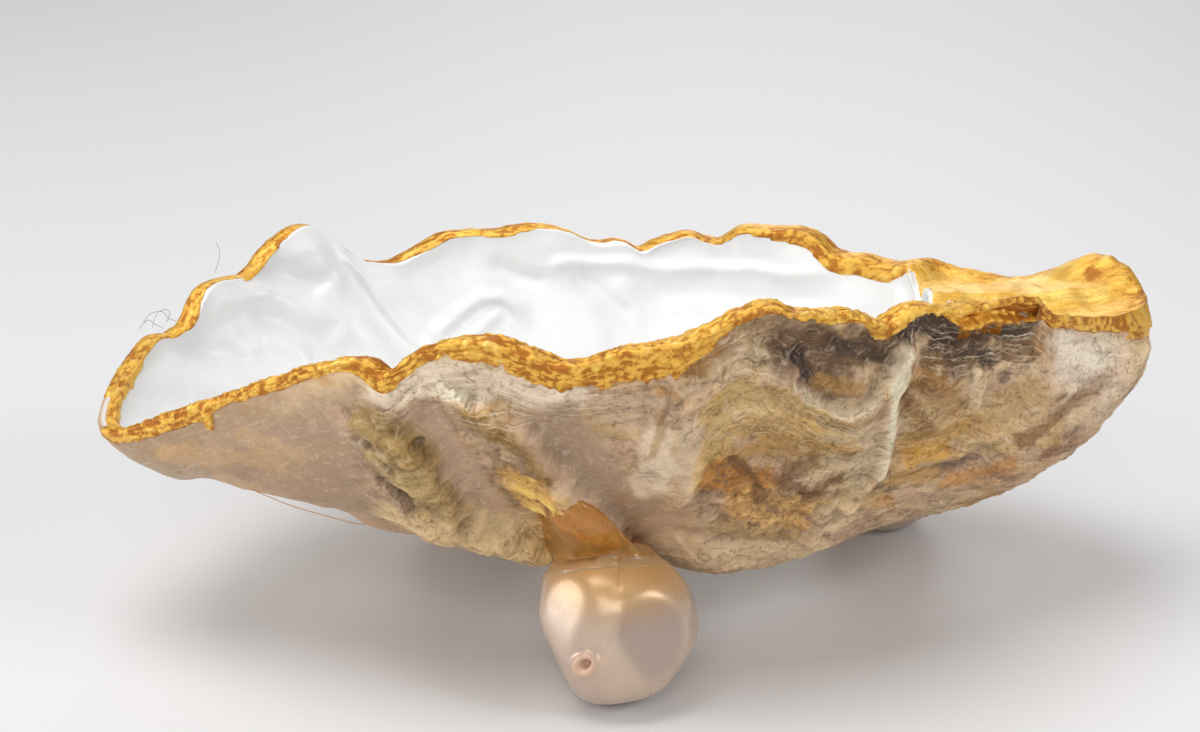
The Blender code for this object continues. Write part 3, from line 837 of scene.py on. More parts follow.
# The colours of the front wall, each laid over the ones before: mostly its natural colours, with a band of
# painted shadow under the gold rim, painted shade in the dark hollow and painted light on the second rib's
# foot.
DABS: tuple[Dab, ...] = (
    # Smooth nacre at the lip.
    Dab(((-44, 20), (-25, 22)), 9, paint(168, 150, 133), 0.95, 0.2),
    Dab(((-37, 24.4), (-30, 26.4), (-25, 28.6)), 2.6, paint(184, 164, 154), 0.7),
    Dab(((-41, 16.8), (-30, 14.6), (-22, 11)), 2.4, paint(196, 176, 162), 0.7, 0.4),
    Dab(((-43, 21.4), (-38, 22), (-33, 22)), 1.5, paint(206, 178, 146), 0.5, 0.9),
    Dab(((-38, 18.6), (-33, 17.2)), 1.2, paint(206, 180, 148), 0.6, 0.9),
    Dab(((-35, 24.6), (-30, 23.4), (-26.6, 24.6)), 1.2, paint(204, 180, 152), 0.6, 0.9),
    Dab(((-36, 20), (-31, 18.8), (-28, 20.6)), 1.6, paint(172, 150, 142), 0.5, 0.9),
    Dab(((-28, 25), (-25, 22), (-24, 17)), 2.4, paint(172, 154, 142), 0.6, 0.6),
    Dab(((-44, 21.4), (-40.4, 22.8)), 0.9, paint(200, 172, 128), 0.4, 0.8),
    # Whitish and lilac-grey layers under the gold.
    Dab(((-24, 30.6), (-20, 29.6)), 1.8, paint(202, 184, 170), 0.7, 0.6),
    Dab(((-22, 31), (-17, 32.6), (-12, 32.6), (-6, 31)), 1.9, (0.95, 0.92, 0.92), 0.95, 0.6),
    Dab(((-16, 29), (-13.2, 27.6)), 1.8, paint(176, 158, 146), 0.7, 0.6),
    Dab(((-18.8, 28.4), (-16.6, 24.6), (-14.8, 20.2), (-13, 16)), 2.1, paint(192, 172, 162), 0.9, 0.4),
    # First rib.
    Dab(((-23.4, 28.2), (-20.8, 26.8), (-19.2, 24.6)), 1.7, paint(170, 148, 98), 0.9),
    Dab(((-22.6, 24.6), (-20, 23), (-18.4, 20.6)), 1.8, paint(196, 178, 132), 0.85),
    Dab(((-24.6, 21), (-21.4, 19.4)), 1.4, paint(172, 154, 136), 0.6, 0.7),
    Dab(((-22, 17), (-17, 16.6), (-13, 14.4), (-8.6, 12.6)), 2.4, paint(230, 214, 182), 0.9, 0.4),
    Dab(((-19.4, 13.6), (-14, 12), (-9, 11)), 1.6, paint(214, 192, 166), 0.7),
    # Second rib, with its gilded-looking amber foot.
    Dab(((-14.4, 29.8), (-11.8, 28.4)), 1.3, paint(160, 136, 84)),
    Dab(((-11.8, 28.6), (-9.4, 26.8), (-7.8, 24.4)), 1.5, paint(152, 124, 72), 0.85),
    Dab(((-12.4, 25.4), (-11.4, 21.6), (-11, 18.4)), 1.1, paint(150, 132, 110), 0.75, 0.6),
    Dab(((-10.8, 24.4), (-8.4, 23.4)), 1, paint(122, 90, 42), 0.9, 0.8),
    # Painted light: this gold-amber patch is made paler than the shell's own colour here, to lift the shade
    # of the rib over it.
    Dab(((-10, 22.2), (-8.2, 19.6), (-6.2, 17.2)), 2.4, paint(250, 212, 130), 1),
    Dab(((-10.6, 19.4), (-9.6, 17.4)), 0.8, paint(226, 194, 116), 0.8, 0.8),
    Dab(((-8.8, 20.6), (-7.4, 18.6)), 0.5, paint(134, 88, 28), 0.8, 0.9),
    Dab(((-6.2, 21.6), (-3.6, 17.6), (-1.4, 14.6)), 0.7, paint(232, 206, 142), 0.8, 0.3),
    Dab(((-7.4, 15.4), (-5.2, 14.4), (-2.4, 12.6)), 2.7, paint(196, 136, 60), 1, 0.25),
    Dab(((-9.6, 14.8), (-8.2, 12.6)), 1.2, paint(228, 206, 160)),
    # The smooth mauve valley.
    Dab(((-7.4, 28.4), (-5, 24.6), (-1.8, 19.4), (1.2, 15.6)), 2.9, paint(172, 154, 144), 0.9, 0.3),
    Dab(((-2.6, 29.8), (1.6, 29.4)), 2, paint(206, 190, 178), 0.8, 0.6),
    Dab(((1.2, 26.6), (2, 23.4), (0.8, 20.8)), 1.8, (0.86, 0.8, 0.76), 0.9, 0.6),
    Dab(((2.6, 15.6), (5.6, 13.6)), 2.4, paint(214, 194, 178), 0.7, 0.4),
    # The olive wall under the shelf-like layer.
    Dab(((1.4, 29.4), (1.8, 26.8), (0.8, 24.6)), 0.55, paint(178, 146, 88), 0.6, 1.1),
    Dab(((3.8, 28.4), (4.4, 24.6), (4.6, 21.4)), 0.8, paint(222, 212, 200), 0.8, 0.6),
    Dab(((6.2, 30.4), (7, 26.8), (5.8, 22)), 1.5, paint(214, 190, 128), 0.85, 0.6),
    Dab(((8.6, 30.8), (12, 29.8), (15.4, 27.2)), 1.9, paint(220, 198, 146), 0.9),
    Dab(((9, 27.6), (13.4, 26.6), (18, 24.8)), 1.6, paint(212, 182, 122), 0.9, 0.6),
    Dab(((8, 24.6), (12, 25), (17.6, 23.4)), 1.2, paint(190, 156, 98), 0.85, 0.8),
    Dab(((13.6, 22.4), (20.4, 22.8)), 1, paint(150, 122, 80), 0.8, 0.8),
    Dab(((16.4, 25.8), (19.8, 24.8)), 1, paint(206, 192, 168), 0.7, 0.7),
    # Crust.
    Dab(((6.8, 22.2), (10.4, 21.2)), 2.1, paint(196, 144, 72), 0.95, 0.8),
    Dab(((10, 18.8), (14.2, 16.6)), 2.9, paint(226, 190, 130), 0.9, 0.8),
    Dab(((8.4, 24), (10.2, 22), (11, 19.6)), 0.6, paint(122, 84, 42), 0.7, 1.6),
    Dab(((12.6, 21.4), (14.8, 19.4)), 0.9, paint(120, 84, 40), 0.8, 1.2),
    Dab(((15.8, 18.4), (18.8, 20)), 1.2, paint(126, 94, 54), 0.8, 1),
    Dab(((8, 15.6), (14, 13.4)), 1.5, paint(214, 192, 154), 0.8, 0.8),
    Dab(((17, 23), (19.4, 21), (20, 18)), 1.1, paint(214, 202, 180), 0.8, 0.7),
    Dab(((3, 12.6), (9.6, 11.6), (16, 10.6)), 2.2, paint(244, 228, 208), 0.9, 0.4),
    # Layers above the ledge, a band of painted shadow under the gold rim, and the dark hollow, its brown
    # deepened with painted shade.
    Dab(((4.4, 34), (6.4, 35.6)), 1, paint(168, 122, 62), 0.8, 0.7),
    # Painted shadow of the gold rim: a grey-tan band just under it.
    Dab(((7, 36.6), (12, 37.4)), 1.2, paint(160, 140, 118), 0.85, 0.6),
    Dab(((6.4, 33.4), (9.4, 34.8), (12.6, 34)), 1.4, paint(208, 194, 176), 0.85),
    # Painted shade: these three dabs darken the hollow over the ledge, on top of its own brown.
    Dab(((13.4, 35), (17.4, 33.2), (21, 34)), 2.9, paint(120, 96, 74), 1, 0.4),
    Dab(((13.2, 34.6), (14.4, 32.4), (15.6, 31)), 0.9, paint(66, 46, 34), 0.95, 0.8),
    Dab(((18, 34.2), (20.4, 32.8)), 1.4, paint(88, 72, 60), 0.9, 0.8),
    Dab(((15.8, 30.8), (19, 29.8)), 0.9, paint(184, 148, 88), 0.8, 0.7),
    Dab(
        ((13, 31.3), (15, 29.4), (17, 28.1), (18.8, 27.6), (20.3, 28.7), (21.8, 31.6)),
        0.3, paint(240, 232, 220), 0.95, 0.2,
    ),
    Dab(((16, 27.2), (18.6, 26.6), (20.6, 27.4)), 0.8, paint(168, 146, 116), 0.7, 0.6),
    # The pale upright ridge.
    Dab(((22.9, 33.6), (21.8, 29.6), (22.2, 24), (21.8, 19.4)), 0.6, (0.93, 0.9, 0.88), 0.9),
    Dab(((20.6, 24.4), (20.4, 19.8)), 1.3, paint(216, 206, 190), 0.8, 0.6),
    Dab(((23.4, 30.6), (23.2, 27)), 0.7, paint(146, 116, 72), 0.8, 0.7),
    # The brown wall near the hinge.
    Dab(((22.4, 36), (26.4, 35), (30.4, 33.6)), 1.9, paint(76, 58, 44), 1, 0.7),
    Dab(((30.4, 33.8), (35, 32.6)), 1.4, paint(84, 66, 50), 0.95, 0.8),
    Dab(((25, 32), (29.6, 31), (35, 31)), 1.4, paint(128, 102, 70), 0.9, 0.8),
    Dab(((29.9, 32.2), (31.6, 30.4)), 1.1, paint(76, 58, 46), 0.95, 0.9),
    Dab(((26.4, 32.8), (28.4, 31.6)), 1, paint(84, 64, 44), 0.9, 0.9),
    Dab(((35.4, 30.2), (37.6, 31.4)), 1, paint(120, 92, 62), 0.85, 0.9),
    Dab(((24.6, 30.4), (27, 29)), 1.6, paint(156, 122, 72), 0.9, 0.8),
    Dab(((24.2, 27.6), (25.2, 25.2), (26.4, 23.6)), 0.9, paint(140, 102, 52), 0.85, 0.7),
    Dab(((26.6, 27.8), (28.4, 26.4)), 1.5, paint(184, 152, 114), 0.95, 0.12),
    Dab(((30.2, 29.6), (31.2, 26), (30.2, 24.6)), 0.6, paint(234, 226, 208), 0.85),
    Dab(((24.4, 22.6), (27.4, 22.4), (31, 23.6)), 1.6, paint(204, 170, 104), 0.9, 0.6),
    Dab(((25, 20.8), (27.8, 21.4)), 1, paint(214, 172, 84), 0.9, 0.6),
    Dab(((24.6, 18.4), (27.4, 17.8)), 1.4, paint(200, 164, 104), 0.8, 0.7),
    Dab(((29.2, 18.8), (31.2, 19.6)), 1.1, paint(138, 116, 106), 0.85, 0.6),
    Dab(((29.4, 16.4), (35, 17.6)), 1.2, paint(208, 160, 100), 0.85, 0.6),
    Dab(((33, 24), (38, 26)), 2.6, paint(206, 180, 140), 0.85, 0.7),
    Dab(((34.6, 22), (38.4, 21.4)), 2, paint(222, 200, 166), 0.8, 0.7),
    Dab(((37, 31), (40, 28)), 1.6, paint(190, 158, 116), 0.8, 0.7),
    Dab(((42.6, 29.4), (48, 27), (48.6, 22.6)), 5.6, (0.95, 0.92, 0.98), 1, 0.35),
    Dab(((41, 23), (46, 20.6)), 1.8, paint(240, 228, 210), 0.85),
    Dab(((36.6, 20.6), (41, 23.4), (44, 25)), 1.1, paint(150, 118, 84), 0.8, 0.7),
    Dab(((40, 17.6), (44.8, 18.8)), 1.4, paint(152, 104, 62), 0.95),
    Dab(((33, 15.4), (40, 16)), 1.3, paint(204, 172, 146), 0.7, 0.6),
)


@dataclass
class OuterTint:
    """The colours of the shell's outside: its natural colours, with painted shade in the relief's hollows
    and painted highlight on its crests.
    """

    relief: OuterRelief
    grain: Grain = field(default_factory=lambda: Grain(5))
    nacre: Colour = paint(214, 194, 176)
    rosy: Colour = paint(198, 174, 166)
    cream: Colour = paint(232, 220, 198)
    olive: Colour = paint(202, 180, 134)
    ochre: Colour = paint(202, 160, 94)
    umber: Colour = paint(112, 76, 40)
    slate: Colour = paint(104, 90, 78)
    glaze: Colour = (1.0, 0.84, 0.62)
    lustres: tuple[Patch, ...] = (
        (((-18.8, 28.4), (-16.6, 24.6), (-14.8, 20.2), (-13, 16)), 2.2, 0.7),
        (((-7.4, 28.4), (-5, 24.6), (-1.8, 19.4), (3.2, 14.6)), 3.6, 0.8),
        (((0, 27), (4.6, 23)), 2.4, 0.7),
        (((27.9, 26.9),), 1.6, 0.6),
    )
    laminae: tuple[Patch, ...] = (
        (((-22, 30.6), (-16, 31.6), (-8, 30.4), (-3, 31)), 2.6, 1),
        (((-24, 27), (-20, 21)), 2.4, 0.5),
        (((-20, 17), (-12, 13.6)), 2.6, 0.35),
        (((4, 33), (8, 35), (11, 34.6)), 2.4, 0.8),
        (((6, 28), (14, 28), (19, 26)), 2.6, 0.9),
        (((24, 33), (30, 31.6), (36, 31)), 3.2, 0.9),
        (((24, 24), (34, 23)), 4, 0.6),
        (((40, 29), (46, 24)), 5.5, 0.55),
        (((-2, 28), (1, 20)), 2, 0.4),
        (((-44, 21), (-26, 22)), 8, 0.16),
    )

    def colours(self, points: Array, below: Array, lift: Array) -> Array:
        """Colour of each point of the outside.

        Args:
            points: the smooth form's points.
            below: distance of each point below the rim.
            lift: how far the relief stands out there.

        Returns:
            Linear colours, with red, green and blue last.
        """
        plane = self.relief.drift(points)
        front = self.relief.front_of(points)
        colour = np.empty(points.shape)
        colour[...] = self.nacre
        for tint, size, shift, low, high in (
            (self.rosy, 9.0, 1.0, -0.1, 0.6),
            (self.cream, 6.0, 14.0, 0.0, 0.6),
            (self.olive, 10.0, 27.0, 0.1, 0.6),
            (self.ochre, 7.0, 35.0, 0.3, 0.8),
            (self.slate, 5.0, 46.0, 0.45, 0.9),
        ):
            patch = smooth(low, high, self.grain.cloud(points * (1, 1, 1.4) + shift, size, 4, 0.6))
            colour = blend(colour, np.array(tint), (0.7 * patch)[..., None])
        bands = 0.5 + 0.5 * np.sin(below * 2.2 + 3.0 * self.grain.cloud(points, 7, 3))
        colour = blend(colour, np.array(self.cream), (0.35 * bands * (1 - front))[..., None])
        soft = self.grain.cloud(points + 3, 2.6, 3)
        fine = self.grain.cloud(points + 7, 0.8, 2, 0.6)
        for dab in DABS:
            away = np.abs(line_distance(plane, dab.line)[0]) / dab.reach
            away = away + dab.ragged * (0.45 * soft + 0.35 * fine)
            weight = dab.strength * smooth(1.15, 0.55, away) * front
            colour = blend(colour, np.array(dab.colour), weight[..., None])
        crust = self.relief.crust_of(points)
        speck = smooth(0.1, 0.7, self.grain.cloud(points + 60, 1.1, 4, 0.7))
        colour = blend(colour, np.array(self.umber), (0.4 * crust * speck)[..., None])
        # Painted shade and highlight: the colour is darkened where the relief sinks below its surroundings
        # and lightened where it stands above them.
        hollow = lift - self.spread(lift)
        colour = colour * (1.0 + np.clip(0.6 * hollow, -0.5, 0.2))[..., None]
        return np.clip(colour * self.glaze, 0.008, 0.95)

    def lamina(self, points: Array) -> Array:
        """How clearly the thin layers show at each point."""
        rear = 0.5 - 0.5 * self.relief.front_of(points)
        return np.maximum(rear, self.relief.patches(points, self.laminae))

    def gloss(self, points: Array) -> Array:
        """How smooth and lustrous each point is."""
        lip = 0.75 * smooth(-21, -27, points[..., 0]) * self.relief.front_of(points) + 0.1
        return np.maximum(lip, self.relief.patches(points, self.lustres))

    def spread(self, lift: Array) -> Array:
        """The relief averaged over the points round each point.

        Args:
            lift: how far the relief stands out, rings by turns.

        Returns:
            The average, rings by turns.
        """
        total = lift.copy()
        for _ in range(3):
            total = (total + np.roll(total, 2, 1) + np.roll(total, -2, 1)) / 3.0
            above = np.vstack([total[:1], total[:1], total[:-2]])
            under = np.vstack([total[2:], total[-1:], total[-1:]])
            total = (total + above + under) / 3.0
        return total


class NodeBench:
    """A workbench for one material: it adds nodes and wires them up."""

    def __init__(self, name: str) -> None:
        """Start a material with a Principled shader.

        Args:
            name: the material's name.
        """
        self.material = bpy.data.materials.new(name)
        self.material.use_nodes = True
        self.tree = self.material.node_tree
        self.shader = self.tree.nodes["Principled BSDF"]
        self.output = self.tree.nodes["Material Output"]
        self.place = self.tree.nodes.new("ShaderNodeTexCoord").outputs["Object"]

    def wire(self, source: Feed, socket: Socket) -> None:
        """Link a socket, or set a plain value on it.

        Args:
            source: the socket or the value.
            socket: what it feeds.
        """
        if isinstance(source, Socket):
            self.tree.links.new(source, socket)
        else:
            socket.default_value = source

    def node(self, kind: str, trait: dict[str, str] | None = None, **inputs: Feed) -> bpy.types.Node:
        """A new node.

        Args:
            kind: its type, such as TexNoise.
            trait: settings of the node itself.
            inputs: what feeds its inputs, by name with _ for each space.

        Returns:
            The node.
        """
        node = self.tree.nodes.new("ShaderNode" + kind)
        for name, setting in (trait or {}).items():
            setattr(node, name, setting)
        for name, source in inputs.items():
            self.wire(source, node.inputs[name.replace("_", " ")])
        return node

    def set(self, **values: Feed) -> None:
        """Set or wire the shader's sockets, by name with _ for each space."""
        for name, source in values.items():
            self.wire(source, self.shader.inputs[name.replace("_", " ")])

    def attribute(self, name: str, colour: bool = False) -> Socket:
        """A value or a colour that the mesh holds at each point."""
        return self.node("Attribute", {"attribute_name": name}).outputs["Color" if colour else "Fac"]

    def noise(self, size: float, detail: float = 4.0, rough: float = 0.55, twist: float = 0.0) -> Socket:
        """Fractal noise with bumps of a size in millimetres."""
        return self.fractal(self.place, 1.0 / (size * MM), detail, rough, twist)

    def fractal(self, place: Socket, scale: float, detail: float, rough: float, twist: float) -> Socket:
        """Fractal noise at a place."""
        inputs = {"Vector": place, "Scale": scale, "Detail": detail, "Roughness": rough}
        return self.node("TexNoise", None, **inputs, Distortion=twist).outputs["Fac"]

    def strata(self, growth: Feed, thick: float, long: float, detail: float = 4.0) -> Socket:
        """Fractal noise in streaks that run with the growth lines.

        Args:
            growth: distance in from the growing edge, in millimetres.
            thick: width of the streaks across the growth lines, in millimetres.
            long: their length along them, in millimetres.
            detail: how many finer layers the noise has.

        Returns:
            The noise.
        """
        apart = self.node("SeparateXYZ", None, Vector=self.place).outputs
        across = self.math("DIVIDE", growth, thick)
        x, y = (self.math("DIVIDE", apart[axis], long * MM) for axis in (0, 1))
        place = self.node("CombineXYZ", None, X=across, Y=x, Z=y).outputs[0]
        return self.fractal(place, 1.0, detail, 0.6, 0.4)

    def math(self, work: str, first: Feed, second: Feed = 0.0) -> Socket:
        """A sum, product or other work on two values.

        Args:
            work: what is done, such as ADD.
            first: the first value.
            second: the second value.

        Returns:
            The outcome.
        """
        node = self.node("Math", {"operation": work})
        for number, source in enumerate((first, second)):
            self.wire(source, node.inputs[number])
        return node.outputs[0]

    def plus(self, first: Feed, second: Feed) -> Socket:
        """The sum of two values."""
        return self.math("ADD", first, second)

    def times(self, first: Feed, second: Feed) -> Socket:
        """The product of two values."""
        return self.math("MULTIPLY", first, second)

    def ramp(self, value: Socket, low: float, high: float, start: float = 0.0, end: float = 1.0) -> Socket:
        """A value eased from start to end as it goes from low to high."""
        inputs = {"Value": value, "From Min": low, "From Max": high, "To Min": start, "To Max": end}
        return self.node("MapRange", {"interpolation_type": "SMOOTHSTEP"}, **inputs).outputs["Result"]

    def mix(self, share: Feed, first: Feed, second: Feed, way: str = "MIX") -> Socket:
        """A mix of two colours.

        Args:
            share: how much of the second there is.
            first: the first colour.
            second: the second colour.
            way: how they mix.

        Returns:
            The mixed colour.
        """
        node = self.node("Mix", {"data_type": "RGBA", "blend_type": way}, Factor=share)
        for source, socket in ((first, node.inputs[6]), (second, node.inputs[7])):
            self.wire(source if isinstance(source, Socket) else (*source, 1.0), socket)
        return node.outputs[2]

    def bump(self, height: Socket, deep: float, strength: float, under: Socket | None = None) -> Socket:
        """A bumped normal.

        Args:
            height: what makes the bumps.
            deep: their depth in millimetres.
            strength: how strong they are.
            under: an earlier bumped normal that they lie over.

        Returns:
            The normal.
        """
        over = {} if under is None else {"Normal": under}
        node = self.node("Bump", None, Height=height, Strength=strength, Distance=deep * MM, **over)
        return node.outputs["Normal"]


@dataclass(frozen=True)
class ShellFinish:
    """Bare oyster shell: thin layers with pale edges, crust and pits, and lustre where it is smooth, with
    painted highlight and painted shade on the layers' steps and on the fine crumple.
    """

    name: str = "bare oyster shell"
    layer_width: float = 0.8
    pale: Colour = paint(240, 222, 194)
    dark: Colour = paint(112, 80, 46)

    def material(self) -> Material:
        """The finished material.

        Returns:
            The material.
        """
        bench = NodeBench(self.name)
        gloss, lamina, crust, growth = map(bench.attribute, ("gloss", "lamina", "crust", "growth"))
        dull = bench.math("SUBTRACT", 1, gloss)
        fine = bench.noise(0.4, 5, 0.6)
        thin = bench.strata(growth, 0.34, 2.6)
        crumple = bench.noise(0.9, 6, 0.62, 1.4)
        shade = bench.attribute("tint", colour=True)
        # Streaks of darker colour; the last, the crumple that also bumps the surface, puts painted shade in
        # its low parts.
        for streak, light, dark, deep in (
            (bench.strata(growth, 1.2, 8), 0.56, 0.28, 0.45),
            (thin, 0.54, 0.26, 0.28),
            (bench.strata(growth, 5, 0.55, 3), 0.48, 0.24, 0.12),
            (crumple, 0.5, 0.34, 0.55),
        ):
            share = bench.times(bench.ramp(streak, light, dark, 0, deep), dull)
            shade = bench.mix(share, shade, self.dark, "MULTIPLY")
        # Painted highlight on the crumple's high parts.
        shade = bench.mix(bench.ramp(crumple, 0.52, 0.72, 0, 0.3), shade, self.pale)
        pale = bench.plus(bench.times(lamina, 0.45), 0.08)
        shade = bench.mix(bench.times(bench.ramp(thin, 0.54, 0.7), pale), shade, self.pale)
        wave = bench.noise(1.6, 3, 0.5, 0.6)
        moved = bench.plus(growth, bench.ramp(wave, 0.25, 0.75, -0.16, 0.16))
        part = bench.math("FRACT", bench.math("DIVIDE", moved, self.layer_width))
        broken = bench.ramp(bench.noise(2.3, 3, 0.6), 0.42, 0.56)
        clear = bench.times(bench.ramp(lamina, 0.35, 0.95), broken)
        # Each thin layer's step: a pale edge, partly the layer's own paler edge and partly painted
        # highlight, and just before the step a painted shadow.
        edge = bench.times(bench.ramp(part, 0.02, 0.22, 1, 0), clear)
        shadow = bench.times(bench.ramp(part, 0.74, 0.98), clear)
        shade = bench.mix(bench.times(shadow, 0.25), shade, self.dark, "MULTIPLY")
        shade = bench.mix(bench.times(edge, 0.55), shade, self.pale)
        rot = bench.ramp(bench.noise(0.9, 6, 0.65, 1.2), 0.5, 0.64)
        shade = bench.mix(bench.times(rot, bench.times(crust, 0.6)), shade, self.dark, "MULTIPLY")
        rough = bench.plus(bench.ramp(gloss, 0, 1, 0.66, 0.36), bench.ramp(fine, 0.3, 0.7, 0.06, -0.06))
        normal = bench.bump(bench.times(bench.math("SUBTRACT", 1, part), clear), 0.12, 0.6)
        for height, least, deep, strength in (
            (bench.strata(growth, 0.6, 3.6, 2), 0.1, 0.22, 0.6),
            (crumple, 0.1, 0.3, 0.7),
            (fine, 0.15, 0.1, 0.7),
        ):
            normal = bench.bump(bench.times(height, bench.plus(dull, least)), deep, strength, normal)
        bench.set(Base_Color=shade, Roughness=rough, Normal=normal, Specular_IOR_Level=0.45)
        return bench.material


@dataclass(frozen=True)
class GoldFinish:
    """Gold paint, laid on thick, orange brown where its crinkles sink and paler on their crests: painted
    shade in the hollows and painted highlight on the crests.
    """

    name: str = "gold paint"
    highlight_gold: Colour = (0.92, 0.62, 0.15)
    body: Colour = (0.86, 0.48, 0.07)
    hollow: Colour = (0.46, 0.16, 0.012)

    def material(self) -> Material:
        """The finished material.

        Returns:
            The material.
        """
        bench = NodeBench(self.name)
        crest = bench.attribute("crest")
        grain = bench.noise(0.26, 5, 0.7)
        cloudy = bench.noise(3.5, 3, 0.5)
        level = bench.plus(crest, bench.ramp(grain, 0.3, 0.7, -0.17, 0.17))
        level = bench.plus(level, bench.ramp(cloudy, 0.35, 0.65, -0.12, 0.12))
        # Painted shade and highlight: the colour runs from the hollow colour where the crinkles sink to the
        # highlight colour on their crests.
        colour = bench.mix(bench.ramp(level, 0.04, 0.5), self.hollow, self.body)
        colour = bench.mix(bench.ramp(level, 0.55, 0.95), colour, self.highlight_gold)
        normal = bench.bump(bench.noise(0.8, 4, 0.6, 1), 0.12, 0.6)
        normal = bench.bump(grain, 0.09, 0.8, normal)
        rough = bench.ramp(level, 0.2, 0.9, 0.46, 0.28)
        bench.set(Base_Color=colour, Roughness=rough, Normal=normal, Metallic=0.5)
        return bench.material


@dataclass(frozen=True)
class WhiteFinish:
    """White paint with a satin, pearly film."""

    name: str = "pearly white paint"
    colour: Colour = (0.8, 0.8, 0.79)
    shade: Colour = (0.74, 0.74, 0.74)

    def material(self) -> Material:
        """The finished material.

        Returns:
            The material.
        """
        bench = NodeBench(self.name)
        cloudy = bench.noise(7, 4, 0.55, 0.4)
        colour = bench.mix(bench.ramp(cloudy, 0.35, 0.7), self.colour, self.shade)
        brush = bench.noise(1.8, 4, 0.5, 0.6)
        normal = bench.bump(brush, 0.1, 0.5)
        normal = bench.bump(bench.noise(0.4, 3, 0.5), 0.02, 0.4, normal)
        rough = bench.ramp(brush, 0.3, 0.7, 0.36, 0.46)
        bench.set(Base_Color=colour, Roughness=rough, Normal=normal)
        bench.set(Sheen_Weight=0.15, Coat_Weight=0.25, Coat_Roughness=0.3)
        return bench.material


@dataclass(frozen=True)
class PearlFinish:
    """Baroque pearl: pinkish white nacre with a soft lustre; its top takes a painted reflection of the
    amber glue, and its flattened lobe a mauve darkened with painted shade.
    """

    name: str = "baroque pearl"
    body: Colour = paint(196, 174, 152)
    rosy: Colour = paint(188, 164, 148)
    glue_reflection_tint: Colour = paint(204, 158, 98)
    mauve: Colour = paint(172, 150, 138)

    def material(self) -> Material:
        """The finished material.

        Returns:
            The material.
        """
        bench = NodeBench(self.name)
        cloudy = bench.noise(5, 3, 0.5, 0.6)
        raw = bench.attribute("raw")
        colour = bench.mix(bench.ramp(cloudy, 0.4, 0.65), self.body, self.rosy)
        # The flattened lobe: a mauve darkened with painted shade.
        colour = bench.mix(bench.times(bench.attribute("lobe"), 0.9), colour, self.mauve)
        # Painted reflection of the amber glue, warm over the pearl's top.
        colour = bench.mix(bench.times(bench.attribute("glue_reflection_tint"), 0.9), colour, self.glue_reflection_tint)
        colour = bench.mix(bench.times(raw, 0.8), colour, paint(214, 176, 150))
        normal = bench.bump(bench.noise(2.2, 3, 0.5), 0.05, 0.35)
        fine = bench.noise(0.8, 2, 0.5)
        rough = bench.plus(bench.ramp(fine, 0.3, 0.7, 0.27, 0.33), bench.times(raw, 0.2))
        bench.set(Base_Color=colour, Roughness=rough, Normal=normal)
        bench.set(Metallic=0.2, Coat_Weight=0.3, Coat_Roughness=0.22, Specular_IOR_Level=0.45)
        return bench.material


@dataclass(frozen=True)
class LintFinish:
    """Fine grey lint."""

    name: str = "grey lint"
    colour: Colour = paint(176, 174, 170)

    def material(self) -> Material:
        """The finished material.

        Returns:
            The material.
        """
        bench = NodeBench(self.name)
        shade = bench.mix(bench.ramp(bench.noise(1.2), 0.35, 0.65), self.colour, paint(132, 130, 128))
        bench.set(Base_Color=shade, Roughness=0.8, Sheen_Weight=0.3)
        return bench.material


@dataclass(frozen=True)
class AmberFinish:
    """Clear amber glue, darker where it is thick."""

    name: str = "amber glue"
    depth: Colour = (0.92, 0.5, 0.13)
    density: float = 170.0

    def material(self) -> Material:
        """The finished material.

        Returns:
            The material.
        """
        bench = NodeBench(self.name)
        cloudy = bench.noise(1.8, 4, 0.6, 1)
        colour = bench.mix(bench.ramp(cloudy, 0.35, 0.65), (0.93, 0.53, 0.13), (0.8, 0.38, 0.06))
        colour = bench.mix(bench.attribute("pale"), colour, (0.92, 0.7, 0.4))
        normal = bench.bump(bench.noise(2.4, 2, 0.5), 0.1, 0.4)
        rough = bench.ramp(cloudy, 0.35, 0.65, 0.16, 0.28)
        bench.set(Base_Color=colour, Roughness=rough, Normal=normal)
        bench.set(Transmission_Weight=0.7, IOR=1.45)
        soak = bench.node("VolumeAbsorption", None, Color=(*self.depth, 1.0), Density=self.density)
        bench.wire(soak.outputs[0], bench.output.inputs["Volume"])
        return bench.material


class Closure(Enum):
    """How a grid of points closes into a solid."""

    BALL = "single points at both ends"
    RING = "last ring joined to the first"


def placed(name: str, data: bpy.types.ID) -> Piece:
    """Show a mesh, a lamp or a camera in the scene.

    Args:
        name: the object's name.
        data: what it shows.

    Returns:
        The object.
    """
    thing = bpy.data.objects.new(name, data)
    bpy.context.scene.collection.objects.link(thing)
    return thing


